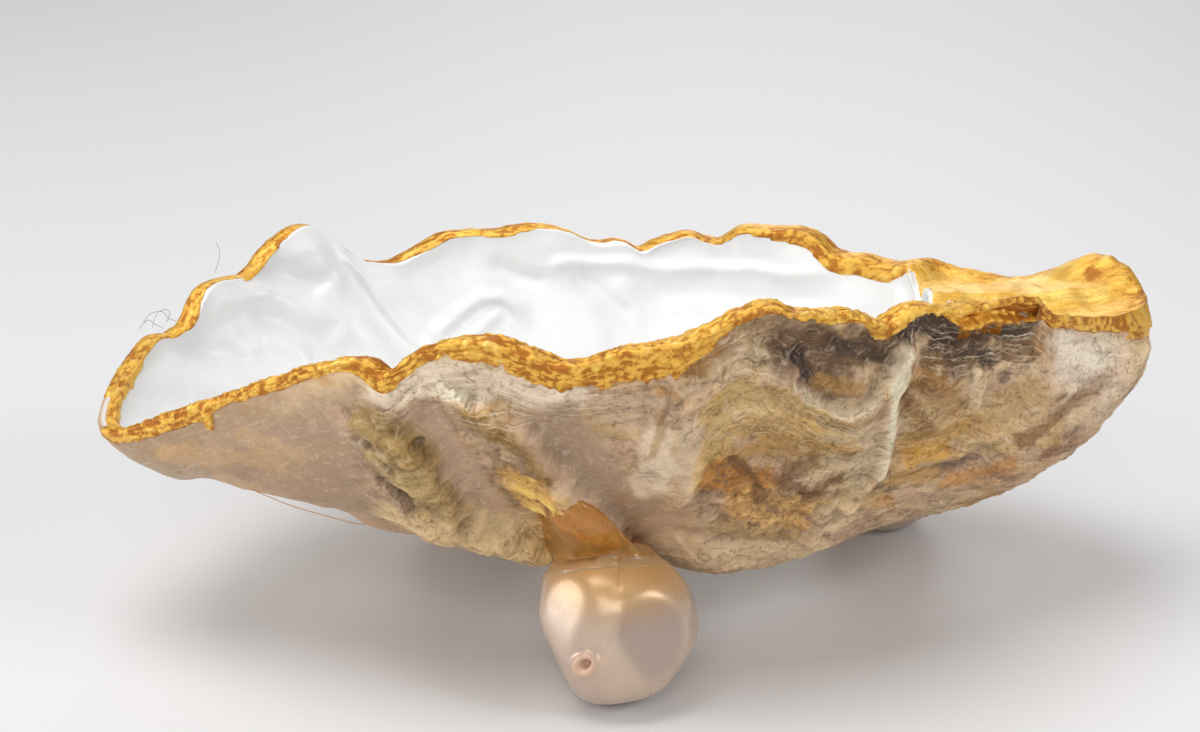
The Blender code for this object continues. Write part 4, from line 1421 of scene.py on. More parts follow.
@dataclass
class Skin:
    """A closed grid of points, rings by turns, with what each point carries."""

    name: str
    grid: Array
    closure: Closure
    values: dict[str, Array] = field(default_factory=dict)

    def faces(self, rings: int, turns: int) -> Array:
        """Four-sided faces between neighbouring rings.

        Args:
            rings: how many rings there are.
            turns: how many points a ring has.

        Returns:
            The four corners of each face.
        """
        ring = np.arange(rings - (self.closure is Closure.BALL))[:, None]
        turn = np.arange(turns)[None, :]
        after = (turn + 1) % turns
        upper = (ring + 1) % rings
        corners = (ring * turns + turn, ring * turns + after, upper * turns + after, upper * turns + turn)
        return np.stack([np.broadcast_to(c, (len(ring), turns)) for c in corners], axis=2).reshape(-1, 4)

    def build(self, finish: Material) -> Piece:
        """The skin as an object.

        Args:
            finish: its material.

        Returns:
            The object, linked to the scene.
        """
        rings, turns = self.grid.shape[:2]
        if self.closure is Closure.RING:
            points = self.grid.reshape(-1, 3)
            faces = self.faces(rings, turns).tolist()
            pick = np.arange(rings * turns)
        else:
            body = self.grid[1:-1]
            points = np.vstack([self.grid[0, :1], body.reshape(-1, 3), self.grid[-1, :1]])
            faces = (self.faces(rings - 2, turns) + 1).tolist()
            top = len(points) - 1
            last = 1 + (rings - 3) * turns
            for turn in range(turns):
                after = (turn + 1) % turns
                faces.append([0, 1 + after, 1 + turn])
                faces.append([top, last + turn, last + after])
            inner = np.arange(turns, (rings - 1) * turns)
            pick = np.concatenate([[0], inner, [(rings - 1) * turns]])
        mesh = bpy.data.meshes.new(self.name)
        mesh.from_pydata((points * MM).tolist(), [], faces)
        mesh.shade_smooth()
        for name, value in self.values.items():
            self.carry(mesh, name, value.reshape(rings * turns, -1)[pick])
        mesh.materials.append(finish)
        mesh.validate()
        return placed(self.name, mesh)

    def carry(self, mesh: bpy.types.Mesh, name: str, value: Array) -> None:
        """Store a number or a colour at each point of the mesh.

        Args:
            mesh: the mesh.
            name: what the stored value is called.
            value: one row a point.
        """
        if value.shape[1] == 3:
            layer = mesh.attributes.new(name, "FLOAT_COLOR", "POINT")
            full = np.concatenate([value, np.ones((len(value), 1))], axis=1)
            layer.data.foreach_set("color", full.ravel())
        else:
            layer = mesh.attributes.new(name, "FLOAT", "POINT")
            layer.data.foreach_set("value", value.ravel())


@dataclass
class Room:
    """The box that the dish has to stay in."""

    low: Spot
    high: Spot
    ease: float = 0.12

    def keep(self, points: Array) -> Array:
        """The points, with any that reach past the box pressed back inside it.

        Args:
            points: points in millimetres.

        Returns:
            The kept points.
        """
        kept = points.copy()
        for axis in range(3):
            if axis < 2:
                over = (kept[..., axis] - self.low[axis]) / self.ease
                kept[..., axis] = self.low[axis] + self.ease * np.logaddexp(0.0, over)
            over = (self.high[axis] - kept[..., axis]) / self.ease
            kept[..., axis] = self.high[axis] - self.ease * np.logaddexp(0.0, over)
        return kept


def front_heavy(turns: int, front_share: float = 0.45, extra: float = 0.9) -> Array:
    """Shares of the way round, closer together along the front.

    Args:
        turns: how many there are.
        front_share: share of the rim that counts as the front.
        extra: how much closer they are there.

    Returns:
        The shares, from 0 up.
    """
    fine = np.linspace(0, 1, 4001)
    weight = 1.0 + extra * smooth(front_share + 0.06, front_share, fine)
    walked = np.concatenate([[0.0], np.cumsum(0.5 * (weight[1:] + weight[:-1]))])
    wanted = np.linspace(0.0, walked[-1], turns, endpoint=False)
    return np.interp(wanted, walked, fine)


@dataclass
class HollowRelief:
    """The soft folds of the hollow: wall folds are given as X and Z, floor folds as X and Y."""

    grain: Grain = field(default_factory=lambda: Grain(11))
    wall_folds: tuple[Ridge, ...] = (
        Ridge(
            ((-31, 30), (-29.6, 27.1), (-27.4, 23.9), (-25.1, 21.6), (-22, 18.6), (-16, 15)),
            1.2, 2.6, 0.6,
        ),
        Ridge(((-35.4, 33), (-33.6, 29), (-31.6, 25), (-28, 20)), 0.9, 1.5, 1.9),
        Ridge(
            ((-41.6, 29.4), (-39, 27.4), (-35.7, 25.5), (-32.1, 23.5), (-28.4, 21.6), (-22, 17.6)),
            0.9, 0.6, 1.6,
        ),
        Ridge(((-38.6, 30), (-35, 27.8), (-32, 26.2)), -0.7, 1, 1),
        Ridge(((-43.2, 29.6), (-42.1, 27.9), (-40.4, 25.6), (-38.4, 23.6), (-33, 19)), 0.8, 0.9, 1.5),
        Ridge(((-47.2, 26), (-42.9, 23.6), (-39.6, 21.9), (-36, 20.3), (-30, 17)), -0.5, 0.8, 1.6),
        Ridge(((-48.4, 23.4), (-45.4, 21.9), (-41, 20), (-36, 18)), 0.45, 2, 1),
        Ridge(
            (
                (-21.6, 19.6), (-20.4, 21), (-18.7, 22.8), (-16.4, 24.2), (-14, 24.4), (-12.4, 23.4),
                (-10.6, 21),
            ),
            0.6, 1, 0.4,
        ),
        Ridge(((-17.6, 20.6), (-15.4, 22.6), (-13.6, 23.2)), 0.45, 0.35, 0.7),
        Ridge(((-14.6, 27.6), (-12, 26.4), (-9, 25.6)), -0.5, 0.8, 0.8),
        Ridge(((-8, 27.8), (3, 27.6), (12, 27.2), (24, 27.4)), 0.5, 0.6, 0.9),
        Ridge(((-5, 26), (-3, 24), (0, 22.4)), -0.4, 0.9, 0.9),
        Ridge(((3, 24.8), (14, 24.2), (24, 24.6)), -0.35, 1.2, 1.2),
    )
    floor_folds: tuple[Ridge, ...] = (
        Ridge(((-44, -2), (-34, -4), (-20, -8)), 0.6, 2.2, 1.2),
        Ridge(((-36, 4), (-24, 2), (-8, 4)), 0.5, 1.6, 2.4),
        Ridge(((-12, -10), (0, -12), (12, -8)), 0.4, 2.6, 1.4),
        Ridge(((0, 6), (6, 10), (13, 8), (15, 2)), -0.35, 0.6, 0.6),
    )
    thick_patch: Line = ((-43, -12.6), (-38, -11.4), (-32, -9.4))
    patch_reach: float = 4.6
    patch_height: float = 1.25

    def lift(self, points: Array, inward: Array, fit: Array) -> Array:
        """How far the folds stand over the smooth hollow.

        Args:
            points: the smooth form's points.
            inward: distance of each point in from the rim.
            fit: how much of the folds' depth fits at each point.

        Returns:
            The lift at each point.
        """
        drift = np.zeros(points.shape)
        for axis in range(3):
            drift[..., axis] = 0.5 * self.grain.cloud(points + 30 * axis, 6, 2)
        moved = points + drift
        far = smooth(-1, 5, points[..., 1] + 0.5 * np.maximum(-40.0 - points[..., 0], 0))
        lift = np.zeros(inward.shape)
        for folds, plane, where in (
            (self.wall_folds, moved[..., [0, 2]], far),
            (self.floor_folds, moved[..., [0, 1]], 1 - far),
        ):
            for fold in folds:
                away, along = line_distance(plane, fold.line)
                width = np.where(away >= 0.0, fold.left, fold.right)
                fade = smooth(1, 0.75, along)
                lift += fold.height * bell(away / width) * fade * where
        lift += 0.4 * self.grain.cloud(points, 12, 2) + 0.1 * self.grain.cloud(points, 3.5, 2)
        away = np.abs(line_distance(points[..., :2], self.thick_patch)[0]) / self.patch_reach
        lift += self.patch_height * bell(away)
        return lift * smooth(0.8, 4, inward) * np.clip((fit - 0.1) / 0.9, 0, 1)


@dataclass
class OysterShell:
    """The bare shell, in one piece."""

    form: ShellForm
    relief: OuterRelief
    hollow: HollowRelief
    tint: OuterTint
    gold: GoldPaint
    room: Room
    turns: int = 660
    outer_rings: int = 113
    lip_rings: int = 10
    inner_rings: int = 25
    inner_sink: float = 0.42
    gold_sink: float = 0.22
    inner_tint: Colour = (0.74, 0.73, 0.71)

    def ways(self) -> Array:
        """Ways in of the rings: even over the outside, closer under the rim, few inside.

        Returns:
            The ways in, one a ring.
        """
        middle = self.form.arc[: self.form.map_ways // 3 + 1, self.form.map_turns // 5]
        ways = np.linspace(0, 1, len(middle))
        walked = np.linspace(0, 1, self.outer_rings)
        walked = walked + 0.45 * np.sin(walked * math.pi) / math.pi
        outer = np.interp(middle[0] * (1 - walked), middle, ways)
        lip = 1.0 + np.linspace(0, 1, self.lip_rings + 1)[1:] ** 1.5
        inner = 2.0 + np.linspace(0, 1, self.inner_rings + 1)[1:] ** 1.8
        return np.concatenate([outer, lip, inner])

    def build(self) -> Piece:
        """The shell's object.

        Returns:
            The object.
        """
        share = front_heavy(self.turns, extra=1.9)
        ways = self.ways()
        way = np.repeat(ways[:, None], self.turns, axis=1)
        base = self.form.place(share, way)
        normal = normals_of(base, capped=True)
        below = np.maximum(-self.form.from_rim(share, way), 0)
        outside = way <= 1.0
        inward = np.maximum(self.form.from_rim(share, way), 0)
        lift = np.where(outside, self.relief.lift(base, below), 0.0)
        hidden = self.gold.edge(share, self.form.from_rim(share, way), base)
        lift = lift - self.gold_sink * smooth(0.2, 0.8, hidden)
        fit = self.form.thin_edge(share, way)
        inner = self.inner_sink * smooth(1.3, 1.8, way) * fit
        gilt = self.gold_sink * smooth(0.2, 0.8, hidden) * smooth(1, 1.05, way) * (way <= 2.0)
        sink = self.hollow.lift(base, inward, fit) - np.maximum(inner, gilt)
        grid = self.room.keep(base + normal * np.where(outside, lift, sink)[..., None])
        bare = smooth(1.12, 1.35, way)
        values = {
            "tint": blend(self.tint.colours(base, below, lift), np.array(self.inner_tint), bare[..., None]),
            "gloss": np.maximum(self.tint.gloss(base), bare),
            "lamina": self.tint.lamina(base) * (1 - bare),
            "growth": self.relief.growth(base, below),
            "crust": self.relief.crust_of(base) * (1 - bare),
        }
        return Skin("oyster_shell", grid, Closure.BALL, values).build(ShellFinish().material())


@dataclass
class WhitePaint:
    """The coat of white paint over the hollow."""

    form: ShellForm
    hollow: HollowRelief
    room: Room
    turns: int = 460
    lip_rings: int = 32
    wall_rings: int = 128
    under_rings: int = 26
    thick: float = 0.06
    body: float = 0.3
    border: float = 30.2
    bare_tip: float = -8.5

    def build(self) -> Piece:
        """The coat's object.

        Returns:
            The object.
        """
        share = (np.arange(self.turns) + 0.5) / self.turns
        rim = self.form.read_rim(self.form.rim, share)
        edge = self.form.hollow_rim(rim)[0]
        over = (rim[:, 0] - self.border) / np.maximum(rim[:, 0] - edge[:, 0], 0.1)
        tip = smooth(3.6, 2.8, np.abs(rim[:, 1] - self.bare_tip)) * smooth(-44, -46, rim[:, 0])
        start = 1.0 + np.clip(over, 0.35 + 0.6 * tip, 0.97)
        lip = np.linspace(0, 1, self.lip_rings)[:, None]
        wall = np.linspace(0, 1, self.wall_rings + 1)[1:, None] ** 1.7
        top = np.concatenate([start + (2.0 - start) * lip, 2.0 + wall + 0.0 * start])
        wall = np.linspace(1.0, 0.0, self.under_rings)[:, None] ** 1.7
        under = np.concatenate([2.0 + wall + 0.0 * start, 2.0 + (start - 2.0) * lip[3::3]])
        pieces = []
        for way, depth in ((top, self.thick), (under, -self.body)):
            base = self.form.place(share, way)
            base[way[:, 0] >= 3.0] = base[way[:, 0] >= 3.0].mean(axis=1, keepdims=True)
            normal = normals_of(base if depth > 0 else base[::-1], capped=False)
            normal = normal if depth > 0 else normal[::-1]
            normal[way[:, 0] >= 3.0] = (0.0, 0.0, 1.0)
            inward = np.maximum(self.form.from_rim(share, way), 0)
            fit = self.form.thin_edge(share, way)
            lift = self.hollow.lift(base, inward, fit) + (depth if depth > 0 else depth * fit)
            pieces.append(base + normal * lift[..., None])
        grid = self.room.keep(np.concatenate([pieces[1], pieces[0]]))
        return Skin("white_paint_coat", grid, Closure.BALL).build(WhiteFinish().material())


@dataclass
class GoldPaint:
    """The coat of gold paint over the rim and the hinge shelf."""

    form: ShellForm
    relief: OuterRelief
    hollow: HollowRelief
    room: Room
    grain: Grain = field(default_factory=lambda: Grain(3))
    turns: int = 1000
    outer_rings: int = 34
    lip_rings: int = 34
    inner_rings: int = 8
    under_rings: int = 20
    thick: float = 0.26
    body: float = 0.5
    spare: float = 0.9
    reach_in: float = 5.4
    shelf_border: float = 0.35
    mean_radius: float = 42.0
    crinkle_height: float = 0.27
    shelf_folds: float = 0.4
    shelf_waves: float = 0.3
    dimple: Spot = (46.2, 9.2, 31.4)
    dimple_width: float = 1.1
    least: float = 0.13
    sunk: float = -0.35
    front_drop: Line = (
        (-48, 1.1), (-43.8, 1.5), (-40.4, 1.6), (-39.1, 1.6), (-38.75, 2.7), (-38.3, 2.8), (-38, 1),
        (-36, 0.9), (-33.5, 1), (-29.5, 1), (-25.7, 0.7), (-23.2, 1.5), (-21.4, 1.5), (-19.6, 1.3),
        (-16.8, 0.9), (-14.2, 1.6), (-11.7, 1.6), (-9.3, 2), (-7.4, 2.3), (-4.8, 2.4), (-4, 3.1), (-3, 2.6),
        (1.2, 3.2), (3.3, 2.7), (4.9, 2.2), (6, 1.2), (8.1, 0.7), (12, 0.35), (15, 0.4), (17.4, 0.6),
        (19, 0.4), (20.3, 1.2), (22.9, 1), (24.4, 0.7), (26.9, 0.6), (28.9, 1.9), (31, 1.9), (33.2, 2.2),
        (35.5, 1.9), (37.3, 1.1), (40.8, 0.9), (45.7, 0.7), (50, 0.5),
    )
    back_drop: float = 1.5
    far_inside: Line = (
        (-50, 1.9), (-48, 1.7), (-46, 1.8), (-44.5, 1.3), (-42, 1.7), (-40, 2), (-37, 1.5), (-34, 1),
        (-32, 1.1), (-30, 1.3), (-27, 1.5), (-22, 2.3), (-16, 2.7), (-10, 2.4), (-6, 1.5), (-2, 1.3),
        (2, 2.1), (8, 2.3), (14, 3), (18, 3.7), (21, 4.1), (26, 4.2),
    )
    bare_tip: tuple[float, ...] = (-8.6, 2.0, 0.1, 0.75)

    def near(self, rim: Array) -> Array:
        """How much each turn belongs to the near side."""
        return smooth(3, -3, rim[:, 1])

    def drop(self, rim: Array) -> Array:
        """How far the paint reaches down outside, for each turn."""
        back = self.back_drop - 0.9 * smooth(42, 47, rim[:, 0])
        return blend(back, knotted(self.front_drop, rim[:, 0]), self.near(rim))

    def edge(self, share: Array, distance: Array, points: Array) -> Array:
        """How far inside its painted area each point is, below 0 outside it.

        Args:
            share: share of the way round, one a turn.
            distance: distance of each point from the rim, over 0 on the lip and inside.
            points: the smooth form's points.

        Returns:
            The distance to the paint's edge at each point.
        """
        rim = self.form.read_rim(self.form.rim, share)
        near = self.near(rim)
        drop = self.drop(rim)
        inside = 2.5 * near + knotted(self.far_inside, rim[:, 0]) * (1 - near)
        wild = smooth(-26, -8, rim[:, 0]) * smooth(36, 30, rim[:, 0]) * near
        ragged = (0.12 + 0.2 * wild) * self.grain.cloud(points, 2.2, 2)
        ragged = ragged + (0.03 + 0.3 * wild) * self.grain.cloud(points * (1, 1, 0.5), 0.6, 2)
        outer = drop + ragged * np.minimum(0.4 + drop, 1.6) + distance
        border = self.form.hinge_line + self.form.hinge_lean * points[..., 1] + self.shelf_border
        shelf = points[..., 0] - border - 0.12 * self.grain.cloud(points, 3, 3)
        inner = np.maximum(inside + 0.8 * ragged - distance, shelf)
        middle, half, deep, reach = self.bare_tip
        beside = half - np.abs(rim[:, 1] - middle) + 0.0 * distance
        bare = np.minimum(beside, reach - np.abs(distance - deep)) + 0.5 * ragged
        mask = np.where(distance < 0.0, outer, inner)
        return np.where(rim[:, 0] < -46.0, np.minimum(mask, -bare), mask)

    def crinkle(self, share: Array, distance: Array, points: Array) -> Array:
        """Crinkled strands of the dried paint, from 0 in the hollows to 1 on the crests.

        Args:
            share: share of the way round, one a turn.
            distance: distance of each point from the rim.
            points: the smooth form's points.

        Returns:
            The crinkle at each point.
        """
        across = distance + 0.5 * self.grain.cloud(points, 3, 2)
        circle = share * math.tau
        ring = [self.mean_radius * wave(circle) / 2.4 + 0.0 * across for wave in (np.cos, np.sin)]
        spot = np.stack([*ring, across / 0.55], axis=-1)
        folds = self.grain.creases(points, 1.3, 3, 0.6)
        strands = blend(self.grain.creases(spot, 1, 2, 0.5), folds, smooth(3, 5, distance))
        beads = self.grain.lumps(points, 0.55)
        return smooth(0.3, 0.92, 0.36 * strands + 0.34 * folds + 0.3 * beads)

    def build(self) -> Piece:
        """The coat's object.

        Returns:
            The object.
        """
        share = front_heavy(self.turns, extra=1.5)
        ones = np.ones(self.turns)
        rim = self.form.read_rim(self.form.rim, share)
        on_shelf = self.form.hollow_rim(rim)[1]
        low = self.form.way_at(share, -1.35 * self.drop(rim) - self.spare)
        edge_way = self.form.way_at(share, self.reach_in * ones)
        edge_x = self.form.hollow_rim(rim)[0][:, 0]
        over = 1 - 0.2 / np.maximum(rim[:, 0] - edge_x, 0.7)
        high = blend(edge_way, 1.0 + over, smooth(0.05, 0.4, on_shelf))
        corner = np.minimum(2.0, high - 0.02)
        steps = [
            blend(low, 1.0, np.linspace(0, 1, self.outer_rings)[:, None] ** 0.8),
            blend(1.0, corner, np.linspace(0, 1, self.lip_rings + 1)[1:, None]) * ones,
            blend(corner, high, np.linspace(0, 1, self.inner_rings + 1)[1:, None]),
        ]
        top = np.concatenate(steps)
        under = blend(high, low, np.linspace(0, 1, self.under_rings + 2)[1:-1, None])
        base, normal, ground, distance = self.ground(share, top)
        crest = self.crinkle(share, distance, base)
        inside = self.edge(share, distance, base)
        far = 1 - 0.65 * (1 - self.near(rim))
        coat = self.thick * (0.6 + 0.4 * smooth(0, 1.2, inside))
        coat = coat + self.crinkle_height * (crest - 0.5) * far
        strands = self.grain.creases(base * (1, 0.45, 1), 3.4, 2)
        shelf = on_shelf * smooth(1, 1.25, top)
        folds = self.shelf_folds * (strands - 0.4) + self.shelf_waves * self.grain.cloud(base, 6, 2)
        coat = coat + shelf * folds
        dimple = np.linalg.norm(base - self.dimple, axis=-1)
        coat = np.maximum(coat - 0.7 * bell(dimple / self.dimple_width), self.least)
        coat = blend(self.sunk, coat, smooth(-0.14, 0.12, inside))
        face = base + normal * (ground + coat)[..., None]
        back, back_normal, back_ground, _ = self.ground(share, under[::-1])
        body = self.body * self.form.thin_edge(share, under[::-1])
        hidden = (back + back_normal * (back_ground - body)[..., None])[::-1]
        grid = self.room.keep(np.concatenate([face, hidden]))
        # The crinkles' crests, which the paint's colour follows as painted highlight, with painted shade in
        # the dimple.
        level = crest * (1 - 0.4 * shelf) + 0.55 * shelf - 0.8 * bell(dimple / 0.9)
        level = np.concatenate([level, np.zeros(under.shape)])
        skin = Skin("gold_paint_coat", grid, Closure.RING, {"crest": level})
        return skin.build(GoldFinish().material())

    def ground(self, share: Array, way: Array) -> tuple[Array, ...]:
        """What the paint lies on.

        Args:
            share: share of the way round, one a turn.
            way: way in, rings by turns, growing from ring to ring.

        Returns:
            The smooth form's points, its normals, the relief over it, and the distance from the rim.
        """
        base = self.form.place(share, way)
        normal = normals_of(base, capped=False)
        distance = self.form.from_rim(share, way)
        outside = self.relief.lift(base, np.maximum(-distance, 0))
        inside = self.hollow.lift(base, np.maximum(distance, 0), self.form.thin_edge(share, way))
        return base, normal, np.where(way <= 1.0, outside, inside), distance


@dataclass
class PearlFoot:
    """A baroque pearl that the dish stands on: two flattened lobes with a fold between them."""

    name: str
    stand: tuple[float, float]
    radius: float
    front: float
    spin: float = 0.0
    turns: int = 160
    rings: int = 90
    worn: float = 0.35
    tilt: float = 20.0
    sharp: float = 24.0
    ease: float = 0.12
    nub: tuple[float, float] = (-0.41, -0.37)
    knob: tuple[float, float] = (-0.21, -0.34)
    crease: Line = ((-0.36, -0.5), (-0.26, -0.12), (-0.1, 0.2), (0, 0.55))
    facets: tuple[tuple[float, ...], ...] = (
        (0.42, -0.08, 0.9, 0.88), (-0.894, -0.447, 0.1, 0.89), (0.8, -0.6, 0.05, 0.96),
        (-0.62, 0.1, 0.78, 0.98), (0.208, -0.978, 0, 0.93), (0, -0.342, 0.94, 0.94),
        (-0.99, 0.1, 0, 1.02),
        (0.3, 0.5, -0.8, 0.95), (-0.5, -0.1, -0.86, 0.97),
    )

    def shape(self, way: Array) -> tuple[Array, Array, Array]:
        """Radius of the pearl, as a share, and what its skin is like, for each direction.

        Args:
            way: unit directions from the pearl's middle, as the pearl sees them.

        Returns:
            The radius, the rawness, from 0 on nacre to 1 round the drilled hole, and how much each
            direction belongs to the flattened lobe.
        """
        tilt = math.radians(self.tilt)
        right = way[..., 0]
        up = way[..., 1] * math.sin(tilt) + way[..., 2] * math.cos(tilt)
        out = -way[..., 1] * math.cos(tilt) + way[..., 2] * math.sin(tilt)
        shoulder = np.where(right < 0.0, -0.72, 0.66) * right + 0.69 * up
        tall = np.where(right < 0.0, 0.13, 0.02) * smooth(0.35, 0.98, shoulder) * smooth(-0.5, 0.1, out)
        total = np.exp(-self.sharp * (1.03 + tall))
        lobe = 0.0
        for number, (towards_right, towards_up, towards_eye, distance) in enumerate(self.facets):
            lean = towards_right * right + towards_up * up + towards_eye * out
            share = np.exp(-self.sharp * np.minimum(distance / np.maximum(lean, 0.2), 2.0))
            lobe = share if number == 0 else lobe
            total += share
        size = -np.log(total) / self.sharp
        lobe = smooth(0.25, 0.75, lobe / total)
        facing = smooth(0, 0.35, out)
        view = np.stack([right, up], axis=-1)
        away, along = line_distance(view, self.crease)
        fold = bell(away / np.where(away > 0, 0.24, 0.15))
        size = size - 0.075 * fold * facing * smooth(1, 0.5, along) * smooth(0, 0.2, along)
        hole = np.linalg.norm(view - self.nub, axis=-1) / 0.1
        ring = bell((hole - 1.0) / 0.5) * facing
        knob = bell(np.linalg.norm(view - self.knob, axis=-1) / 0.08) * facing
        size = size + 0.07 * ring - 0.1 * smooth(0.8, 0.3, hole) * facing + 0.03 * knob
        raw = np.maximum(smooth(2, 0.9, hole), 0.5 * knob) * facing
        return size, raw, lobe * facing

    def build(self, finish: Material) -> Piece:
        """The pearl's object.

        Args:
            finish: its material.

        Returns:
            The object.
        """
        rise = np.linspace(-math.pi / 2, math.pi / 2, self.rings)[:, None]
        turn = (np.arange(self.turns) / self.turns * math.tau)[None, :]
        level = np.cos(rise)
        way = np.stack([level * np.cos(turn), level * np.sin(turn), np.sin(rise) + 0.0 * turn], axis=-1)
        seen = way.copy()
        cos, sin = math.cos(self.spin), math.sin(self.spin)
        seen[..., 0] = way[..., 0] * cos + way[..., 1] * sin
        seen[..., 1] = -way[..., 0] * sin + way[..., 1] * cos
        size, raw, lobe = self.shape(seen)
        grid = way * (self.radius * size)[..., None]
        grid[..., 2] = np.maximum(grid[..., 2] + self.radius - self.worn, 0)
        grid[..., :2] += np.array(self.stand)
        front = self.front + 0.01
        grid[..., 1] = front + self.ease * np.logaddexp(0.0, (grid[..., 1] - front) / self.ease)
        # Painted reflection of the amber glue: how much of it each point takes, most on the top.
        glue_reflection_tint = smooth(0.35, 0.9, way[..., 2])
        skin = Skin(self.name, grid, Closure.BALL, {"raw": raw, "glue_reflection_tint": glue_reflection_tint, "lobe": lobe})
        return skin.build(finish)


def tree_of(piece: Piece) -> BVHTree:
    """A search tree of a piece's faces.

    Args:
        piece: the piece.

    Returns:
        The tree.
    """
    shape = bmesh.new()
    shape.from_mesh(piece.data)
    tree = BVHTree.FromBMesh(shape)
    shape.free()
    return tree


@dataclass
class GlueNeck:
    """A neck of amber glue that runs from a pearl up on to the shell.

    spread and collar say how far the neck's edges on the shell and on the pearl lean from its axis,
    by the angle round it: 0 to the right, 90 to the back, 180 to the left and 270 to the front.
    Where seats are given, the upper edge runs past them instead: the angle, then X, Y and Z.
    bulge says how far the neck swells out, and clear how pale the glue is. film holds the lean and
    the height over the pearl of the thin rings by which the neck's foot runs out.
    """

    name: str
    stand: tuple[float, float]
    radius: float
    spread: Line = ((0, 48), (360, 48))
    collar: Line = ((0, 50), (360, 50))
    seats: tuple[tuple[float, ...], ...] = ()
    bulge: Line = ((0, 0), (360, 0))
    clear: Line = ((0, 0), (360, 0))
    turns: int = 112
    rings: int = 36
    longest: float = 13.0
    worn: float = 0.35
    off_pearl: float = 0.07
    in_shell: float = 0.12
    lower_run: float = 0.34
    upper_run: float = 0.42
    wobble: float = 0.1
    film: tuple[tuple[float, float], ...] = ((0.14, 0.015), (0.2, -0.25))
    grain: Grain = field(default_factory=lambda: Grain(15))

    def __post_init__(self) -> None:
        """Lay out the angles of the turns, in degrees."""
        self.circle = np.linspace(0, 360, self.turns, endpoint=False)

    def ways(self, axis: Vector, leans: Line) -> list[Vector]:
        """Directions round the axis, each leaning from it.

        Args:
            axis: the neck's axis.
            leans: by how many degrees they lean, by the angle round the axis.

        Returns:
            The directions, one a turn.
        """
        side = Vector((1, 0, 0))
        side = (side - axis * side.dot(axis)).normalized()
        found = []
        for turn, lean in zip(np.radians(self.circle), np.radians(knotted(leans, self.circle))):
            around = side * math.cos(turn) + axis.cross(side) * math.sin(turn)
            found.append(axis * math.cos(lean) + around * math.sin(lean))
        return found

    def upper_edge(self, shell: BVHTree, middle: Vector, axis: Vector) -> tuple[Array, Array]:
        """Where the neck ends on the shell, and which way the shell faces there.

        Args:
            shell: search tree of the shell.
            middle: the pearl's middle.
            axis: the neck's axis.

        Returns:
            Points in millimetres and unit normals, one a turn.
        """
        if self.seats:
            at, *spots = np.array(self.seats).T
            goals = np.stack([np.interp(self.circle, at, spot) for spot in spots], axis=1)
        else:
            ways = self.ways(axis, self.spread)
            reach = [min((shell.ray_cast(middle, way)[3] or 1.0) / MM, self.longest) for way in ways]
            goals = np.array(middle) / MM + np.array(ways) * np.array(reach)[:, None]
        goals = evened(goals, 2.5)
        found = [shell.find_nearest(Vector(goal) * MM)[:2] for goal in goals]
        points = np.array([np.array(place) / MM for place, _ in found])
        normals = evened(np.array([np.array(normal) for _, normal in found]), 3.0)
        return evened(points, 1.2), unit(normals)

    def build(self, shell: BVHTree, pearl: BVHTree, finish: Material) -> Piece:
        """The neck's object.

        Args:
            shell: search tree of the shell.
            pearl: search tree of the pearl.
            finish: the glue's material.

        Returns:
            The object.
        """
        middle = Vector((*self.stand, self.radius - self.worn)) * MM
        contact = shell.find_nearest(middle)[0]
        axis = (contact - middle).normalized()
        centre, touch, up = np.array(middle) / MM, np.array(contact) / MM, np.array(axis)
        low = np.array(self.ways(axis, self.collar))
        inner = np.array([(pearl.ray_cast(middle, Vector(way))[3] or self.radius * MM) / MM for way in low])
        seat, facing = self.upper_edge(shell, middle, axis)
        first = centre + low * (inner + self.off_pearl)[:, None]
        last = seat - facing * self.in_shell
        leave = unit(up - low * (low @ up)[:, None])
        home = first - last
        home = unit(home - facing * np.sum(home * facing, axis=1, keepdims=True))
        gap = np.linalg.norm(last - first, axis=1, keepdims=True)
        a = first + leave * gap * self.lower_run
        b = last + home * gap * self.upper_run + facing * 0.15
        part = np.linspace(0, 1, self.rings)[:, None, None]
        keep = 1 - part
        side = first * keep**3 + a * (3 * keep**2 * part) + b * (3 * keep * part**2) + last * part**3
        way = unit(side - side.mean(axis=1, keepdims=True))
        wave = self.wobble * self.grain.cloud(side, 2.5, 2) * np.sin(part[..., 0] * math.pi)
        push = np.sin(part * math.pi) ** 0.7 * knotted(self.bulge, self.circle)[None, :, None]
        side = side + way * wave[..., None] + facing * push
        for lean, over in self.film:
            skin = centre + (low - leave * lean) * (inner + over)[:, None]
            side = np.concatenate([skin[None], side])
        shares = np.linspace(0, 1, 5)[:-1, None, None]
        under = centre + up * 3.0 + (side[:1] - centre - up * 3.0) * shares
        over = touch + up * 0.6 + (side[-1:] - touch - up * 0.6) * shares[::-1]
        grid = np.concatenate([under, side, over])
        rising = smooth(10, 4, np.arange(len(grid)) + 0.0)[:, None]
        pale = rising + knotted(self.clear, self.circle)[None, :]
        return Skin(self.name, grid, Closure.BALL, {"pale": np.clip(pale, 0, 1)}).build(finish)


